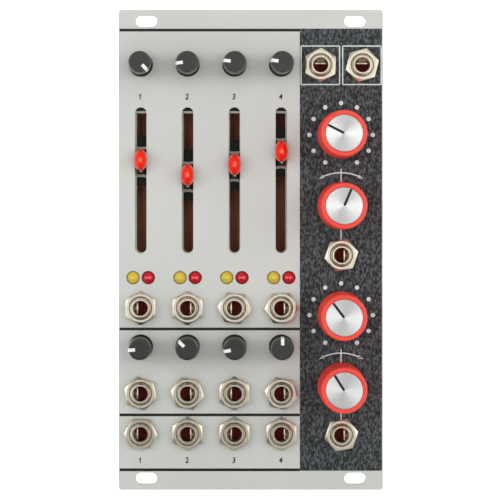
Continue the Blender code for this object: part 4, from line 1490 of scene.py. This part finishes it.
@dataclass
class MainBoard(Board):
    """The rear board: chips with their legs, small parts, capacitors and sockets."""

    front: float = -0.0226
    chip: Triple = (0.0039, 0.0087, 0.00135)
    chip_lift: float = 0.0001
    chip_edge: float = 0.00015
    mark: float = 0.0003
    mark_place: Point = (-0.0013, 0.0036)
    mark_ends: Point = (-0.0015, -0.00145)
    leg_width: float = 0.0004
    leg_parts: tuple[tuple[float, ...], ...] = ((0.0002, 0.0006, 0.0002, 0.0007),
                                                (0.0005, 0.0002, 0.0007, 0.00045),
                                                (0.0008, 0.0006, 0.00015, 0.000075))
    chip_columns: tuple[float, ...] = (-0.0165, 0.0, 0.0165)
    chip_rows: tuple[float, ...] = (0.024, 0.008, -0.008, -0.024)
    leg_pitch: float = 0.00127
    columns: tuple[float, ...] = (0.0065, 0.0100, 0.0235, 0.0275)
    row_top: float = 0.0330
    row_pitch: float = 0.0034
    rows: int = 18
    left_out: float = 0.22
    resistors: float = 0.6
    part_size: Point = (0.0011, 0.0008)
    part_heights: Point = (0.00045, 0.0008)
    end_size: Point = (0.00026, 0.00084)
    end_place: float = 0.00067
    end_lap: float = 0.00002
    capacitor: Point = (0.0220, -0.0400)
    can: float = 0.00315
    socket_place: Point = (0.0296, 0.0180)
    socket_size: Point = (0.0050, 0.0254)
    socket_edge: float = 0.0002
    socket_parts: tuple[tuple[str, float, float], ...] = (("", 0.0085, 0.00425),
                                                          ("_pins_base", 0.0021, 0.0096))

    def build(self) -> None:
        """Make the board and what is soldered on it."""
        self.make_plate()
        self.chips()
        self.small_parts()
        self.capacitors()
        self.sockets()

    def chips(self) -> None:
        """Make the chips with their first leg's mark, and their gull wing legs."""
        bodies, legs, rear = Shape(), Shape(), self.rear
        wide, _, thick = self.chip
        for x, y in [(x, y) for x in self.chip_columns for y in self.chip_rows]:
            bodies.block(self.chip, (x, y, rear - self.chip_lift - thick / 2))
            mark = circle(self.mark, 12, (x + self.mark_place[0], y + self.mark_place[1]))
            bodies.prism(mark, *(rear + end for end in self.mark_ends))
            for side, leg in [(side, leg) for side in SIDES for leg in range(-3, 4)]:
                for out, size_x, size_z, height in self.leg_parts:
                    legs.block((size_x, self.leg_width, size_z),
                               (x + side * (wide / 2 + out), y + self.leg_pitch * leg, rear - height))
        self.add("chips", bodies, Finish.EPOXY, bevel=self.chip_edge)
        self.add("chip_legs", legs, Finish.TIN)

    def small_parts(self) -> None:
        """Scatter chip resistors and capacitors in tidy rows between the chips."""
        draw = random.Random(7)
        resistors, ceramics, ends = Shape(), Shape(), Shape()
        for x in [-column for column in self.columns[::-1]] + list(self.columns):
            for y in (self.row_top - row * self.row_pitch for row in range(self.rows)):
                if draw.random() < self.left_out:
                    continue
                kind = 0 if draw.random() < self.resistors else 1
                high, middle = self.part_heights[kind], self.rear - self.part_heights[kind] / 2
                (resistors, ceramics)[kind].block((*self.part_size, high), (x, y, middle))
                for side in SIDES:
                    ends.block((*self.end_size, high + self.end_lap * 2),
                               (x + side * self.end_place, y, middle - self.end_lap))
        self.add("resistors", resistors, Finish.EPOXY)
        self.add("ceramics", ceramics, Finish.CERAMIC)
        self.add("small_ends", ends, Finish.TIN)

    def capacitors(self) -> None:
        """Make the two electrolytic capacitors: sleeve with its rolled neck, and top."""
        can = self.can
        sleeve = ((0.0, 0.0071), (can - 0.0006, 0.0075), (can - 0.0002, 0.0076), (can, 0.0073), (can, 0.0016),
                  (can - 0.0003, 0.0012), (can, 0.0008), (can, 0.0003), (0.0, 0.0))
        top = ((0.0, 0.00772), (can - 0.0009, 0.00772), (can - 0.0006, 0.0074), (0.0, 0.0070))
        for side, name in ((-1, "left"), (1, "right")):
            for suffix, finish, profile, smooth in (("sleeve", Finish.SLEEVE, sleeve, 40),
                                                    ("top", Finish.CAN, top, 35)):
                shape = Shape().lathe([(radius, self.rear - height) for radius, height in profile], 48)
                self.stand.piece(f"capacitor_{name}_{suffix}", shape, finish, self.slot,
                                 at=(self.capacitor[0] * side, self.capacitor[1]), smooth=smooth)

    def sockets(self) -> None:
        """Make the four socket strips between the boards, each with its plug."""
        for a, b in CORNERS:
            name = f"socket_{'left' if a < 0 else 'right'}_{'low' if b < 0 else 'top'}"
            for end, tall, middle in self.socket_parts:
                shape = Shape().block((*self.socket_size, tall), (0, 0, self.front + middle))
                self.stand.piece(name + end, shape, Finish.BLACK_PLASTIC, self.slot, bevel=self.socket_edge,
                                 at=(self.socket_place[0] * a, self.socket_place[1] * b))


@dataclass
class PowerHeader(Part):
    """The shrouded header for the rack's ribbon cable, with sixteen gold pins."""

    slot: str = "black_plastic"
    wall: float = 0.0012
    floor: float = 0.0022
    key: float = 0.0045
    pin: float = 0.00064
    pin_length: float = 0.0060
    pin_sunk: float = 0.0002
    pin_edge: float = 0.00012
    pitch: float = 0.00254
    edge: float = 0.0002

    def build(self) -> None:
        """Make the shroud and the pins."""
        x, y, w, k = self.size.x / 2, self.size.y / 2, self.wall, self.key / 2
        outline = [(x, -y), (x, y), (-x, y), (-x, -y), (-k, -y), (-k, -y + w), (-x + w, -y + w),
                   (-x + w, y - w), (x - w, y - w), (x - w, -y + w), (k, -y + w), (k, -y)]
        rise = self.high.z - self.floor
        shroud = Shape().plate([outline], self.low.z, rise - self.low.z)
        shroud.block((2 * x, 2 * y, self.floor), (0, 0, self.high.z - self.floor / 2))
        self.add("shroud", shroud, Finish.BLACK_PLASTIC, bevel=self.edge)
        pins, size = Shape(), (self.pin, self.pin, self.pin_length + self.pin_sunk)
        middle = rise + (self.pin_sunk - self.pin_length) / 2
        for row, column in [(row, column) for row in SIDES for column in range(8)]:
            pins.block(size, (self.pitch * (column - 3.5), self.pitch / 2 * row, middle))
        self.add("pins", pins, Finish.GOLD, bevel=self.pin_edge)


@dataclass
class Spacer(Part):
    """A hexagonal spacer between the boards, with its cross slotted screw behind."""

    slot: str = "brass_spacer"
    flats: float = 0.0025
    ends: Point = (-0.0223, -0.0119)
    pin: float = 0.0013
    head: float = 0.0025
    head_face: float = -0.0242
    dome: float = 0.0009
    recess: tuple[Point, Point] = ((0.0004, 0.0009), (0.0005, 0.0001))
    turns: tuple[float, ...] = (20, 40, 60, 75, 90)
    cross: Triple = (0.0022, 0.0004, 0.0002)
    cross_lift: float = 0.00012
    edge: float = 0.0001

    def build(self) -> None:
        """Make the spacer and its screw."""
        low = self.low.z
        corner = self.flats / math.cos(math.radians(30))
        hexagon = Shape().prism(arc(corner, 0, -300, 5), *self.ends)
        hexagon.prism(circle(self.pin, 24), self.ends[1], self.high.z)
        self.add("hexagon", hexagon, Finish.BRASS, bevel=self.edge)
        head = [(0.0, low + self.dome)] + [(radius, low + depth) for radius, depth in self.recess]
        for angle in (math.radians(turn) for turn in self.turns):
            head.append((self.head * math.sin(angle), low + self.dome * (1 - math.cos(angle))))
        head += [(self.head, self.head_face), (0.0, self.head_face)]
        self.add("screw", Shape().lathe(head, 40), Finish.TIN, smooth=45)
        # The cross slot is a near-black block on the head: painted shade in place of the recess.
        cross, (long, wide, thick) = Shape(), self.cross
        for size in ((wide, long, thick), (long, wide, thick)):
            cross.block(size, (0, 0, low + self.cross_lift))
        self.add("screw_cross_painted_shade", cross, Finish.SHIELD)


# Studio

@dataclass
class Studio:
    """Floor and backdrop, soft lights, and the camera at the photograph's place."""

    stand: Stand
    floor_drop: float = 0.008
    mat_lift: float = 0.002
    bend: float = 0.5
    half_width: float = 3.0
    near_edge: float = -2.5
    wall_top: float = 2.5
    tone_reach: Point = (-0.1, 0.1)
    tones: Point = (0.66, 0.93)
    glow_reach: Point = (0.0, 0.036)
    daylight: float = 0.84
    glow: float = 0.62
    eye: Triple = (-0.00957, -0.592, 0.01225)
    lens: float = 158.7
    sensor: float = 36.0
    clip: Point = (0.01, 20.0)
    shift: Point = (0.07, -0.092)
    boxes: tuple[tuple[str, Triple, Point, float], ...] = (
        ("left_box", (-0.80, -1.0, 0.27), (1.4, 0.6), 4.75),
        ("right_box", (0.80, -1.0, 0.23), (1.4, 0.6), 4.4),
        ("top_box", (0.0, -0.18, 0.48), (0.6, 0.16), 0.5))
    card_reach: tuple[Point, Point] = ((-1.5, 1.5), (-1.35, -0.45))
    card_heights: Point = (0.92, 1.37)
    mats: tuple[tuple[str, float, Point, Point], ...] = (
        ("dark_mat", 0.0, (-0.08, 0.022), (-0.3, -0.02)),
        ("left_mat", 1.5, (-1.5, -0.08), (-1.6, -0.05)),
        ("right_mat", 1.5, (0.06, 1.5), (-1.6, -0.05)))

    def build(self) -> None:
        """Make the stage, the lights and the camera."""
        self.ground = self.stand.floor - self.floor_drop
        self.backdrop()
        self.lights()
        self.cards()
        self.camera()

    def staged(self, graph: Graph, points: list[Triple], faces: list[tuple[int, ...]]) -> bpy.types.Object:
        """Make a piece of the stage, named like its material.

        Args:
            graph: Its material's graph.
            points: Its corners.
            faces: Numbers of each face's corners.

        Returns:
            The object.
        """
        mesh = bpy.data.meshes.new(graph.material.name)
        mesh.from_pydata(points, [], faces)
        mesh.materials.append(graph.material)
        made = linked(graph.material.name, mesh)
        return made

    def backdrop(self) -> None:
        """Make one pale sheet: floor, a wide curve, and the wall behind."""
        graph = Graph("pale_sheet")
        depth = graph.node("SeparateXYZ", sockets={0: graph.node("TexCoord", output="Object")}, output="Y")
        near, lit = graph.ramp(depth, *self.tone_reach), graph.ramp(depth, *self.glow_reach)
        graph.surface(Base_Color=graph.tint(near, *((tone,) * 3 for tone in self.tones)), Roughness=0.9,
                      Emission_Strength=self.glow,
                      Emission_Color=graph.tint(lit, (0.0, 0.0, 0.0), (1.0, 1.0, 1.0)))
        bend, ground = self.bend, self.ground
        path = [(self.near_edge, ground), (bend, ground)]
        path += [(bend + y, ground + bend - z) for y, z in arc(bend, 10, 90, 8)]
        path.append((2 * bend, self.wall_top))
        points = [(side * self.half_width, y, z) for y, z in path for side in SIDES]
        faces = [(2 * i, 2 * i + 1, 2 * i + 3, 2 * i + 2) for i in range(len(path) - 1)]
        self.staged(graph, points, faces).data.shade_smooth()

    def lights(self) -> None:
        """Place the soft boxes and the even light all round."""
        world = bpy.data.worlds.new("studio")
        world.use_nodes = True
        background = world.node_tree.nodes["Background"].inputs
        background["Color"].default_value = (1.0, 1.0, 1.0, 1.0)
        background["Strength"].default_value = self.daylight
        bpy.context.scene.world = world
        target = Vector((0, 0, self.stand.middle))
        for name, place, size, power in self.boxes:
            light = bpy.data.lights.new(name, "AREA")
            light.shape, light.size, light.size_y, light.energy = "RECTANGLE", *size, power
            holder = linked(name, light)
            holder.location = place
            holder.rotation_euler = (target - Vector(place)).to_track_quat("-Z", "Y").to_euler()
            holder.visible_camera = False

    def cards(self) -> None:
        """Hang the cards that the camera doesn't see: they tone what the metal mirrors."""
        self.card("dark_card", 0.0, self.card_reach, self.card_heights)
        low = self.ground + self.mat_lift
        for name, glow, across, along in self.mats:
            mat = self.card(name, glow, (across, along), (low, low))
            mat.visible_diffuse = mat.visible_shadow = mat.visible_transmission = False

    def card(self, name: str, glow: float, reach: tuple[Point, Point], heights: Point) -> bpy.types.Object:
        """Make one flat card of the stage, dark or glowing.

        Args:
            name: Its name.
            glow: Strength of its own light.
            reach: Its ends along X and along Y.
            heights: Heights of its near and its far edge.

        Returns:
            The card, hidden from the camera.
        """
        (left, right), (near, far) = reach
        graph = Graph(name)
        graph.surface(Base_Color=(0.01, 0.01, 0.01, 1.0), Roughness=0.9, Specular_IOR_Level=0.1,
                      Emission_Color=(1.0, 1.0, 1.0, 1.0), Emission_Strength=glow)
        corners = [(left, near, heights[0]), (right, near, heights[0]), (right, far, heights[1]),
                   (left, far, heights[1])]
        made = self.staged(graph, corners, [(0, 1, 2, 3)])
        made.visible_camera = False
        return made

    def camera(self) -> None:
        """Place the camera and let the picture keep plain tones."""
        camera = bpy.data.cameras.new("camera")
        camera.lens, camera.sensor_width = self.lens, self.sensor
        camera.shift_x, camera.shift_y = self.shift
        camera.clip_start, camera.clip_end = self.clip
        holder = linked("camera", camera)
        holder.location = (self.eye[0], self.eye[1], self.stand.middle + self.eye[2])
        holder.rotation_euler = (math.radians(90), 0, 0)
        bpy.context.scene.camera = holder
        bpy.context.scene.view_settings.view_transform = "Standard"


CHANNELS = 4
FADER_SHIFTS = (0.00020, 0.00018, 0.00008, -0.00012)
NUT_TURNS = {"level_cv": (0.0, 0.0, 36.0, 28.0), "pan_cv": (48.0, 39.0, 0.0, 40.0),
             "input": (32.0, 0.0, 0.0, 0.0)}
SIDE_JACKS = (("left_output_jack", 2.0, Spring.TOP), ("right_output_jack", 14.0, Spring.TOP),
              ("width_cv_jack", 19.0, Spring.RIGHT), ("center_cv_jack", 19.0, Spring.RIGHT))
LARGE_KNOBS = ("width", "width_cv", "center", "center_cv")


def main() -> None:
    """Build the studio and every sub-assembly in order."""
    logging.basicConfig(level=logging.INFO, format="%(name)s: %(message)s")
    stand = Stand()
    Studio(stand).build()
    Face(stand, "front_panel").build()
    for i in range(CHANNELS):
        end, fader = f"_{i + 1}", f"fader_{i + 1}"
        for knob in ("gain", "pan"):
            SmallKnob(stand, f"{knob}_knob{end}", body=knob + end).build()
        FaderFrame(stand, f"fader_frame{end}", shift=FADER_SHIFTS[i]).build()
        Carriage(stand, f"fader_carriage{end}", body=fader).build()
        FaderLens(stand, f"fader_lens{end}", body=fader).build()
        Led(stand, f"signal_led{end}", "yellow_led").build()
        Led(stand, f"peak_led{end}", "red_led").build()
        for name, turns in NUT_TURNS.items():
            spring = Spring.RIGHT if i % 2 else Spring.LEFT
            Jack(stand, f"{name}_jack{end}", nut_turn=turns[i], spring=spring).build()
        Spacer(stand, f"spacer{end}").build()
    for node, turn, spring in SIDE_JACKS:
        Jack(stand, node, nut_turn=turn, spring=spring).build()
    for body in LARGE_KNOBS:
        LargeKnob(stand, f"{body}_knob", body=body).build()
    ControlBoard(stand, "control_board").build()
    MainBoard(stand, "main_board").build()
    PowerHeader(stand, "power_header").build()


if __name__ == "__main__":
    main()
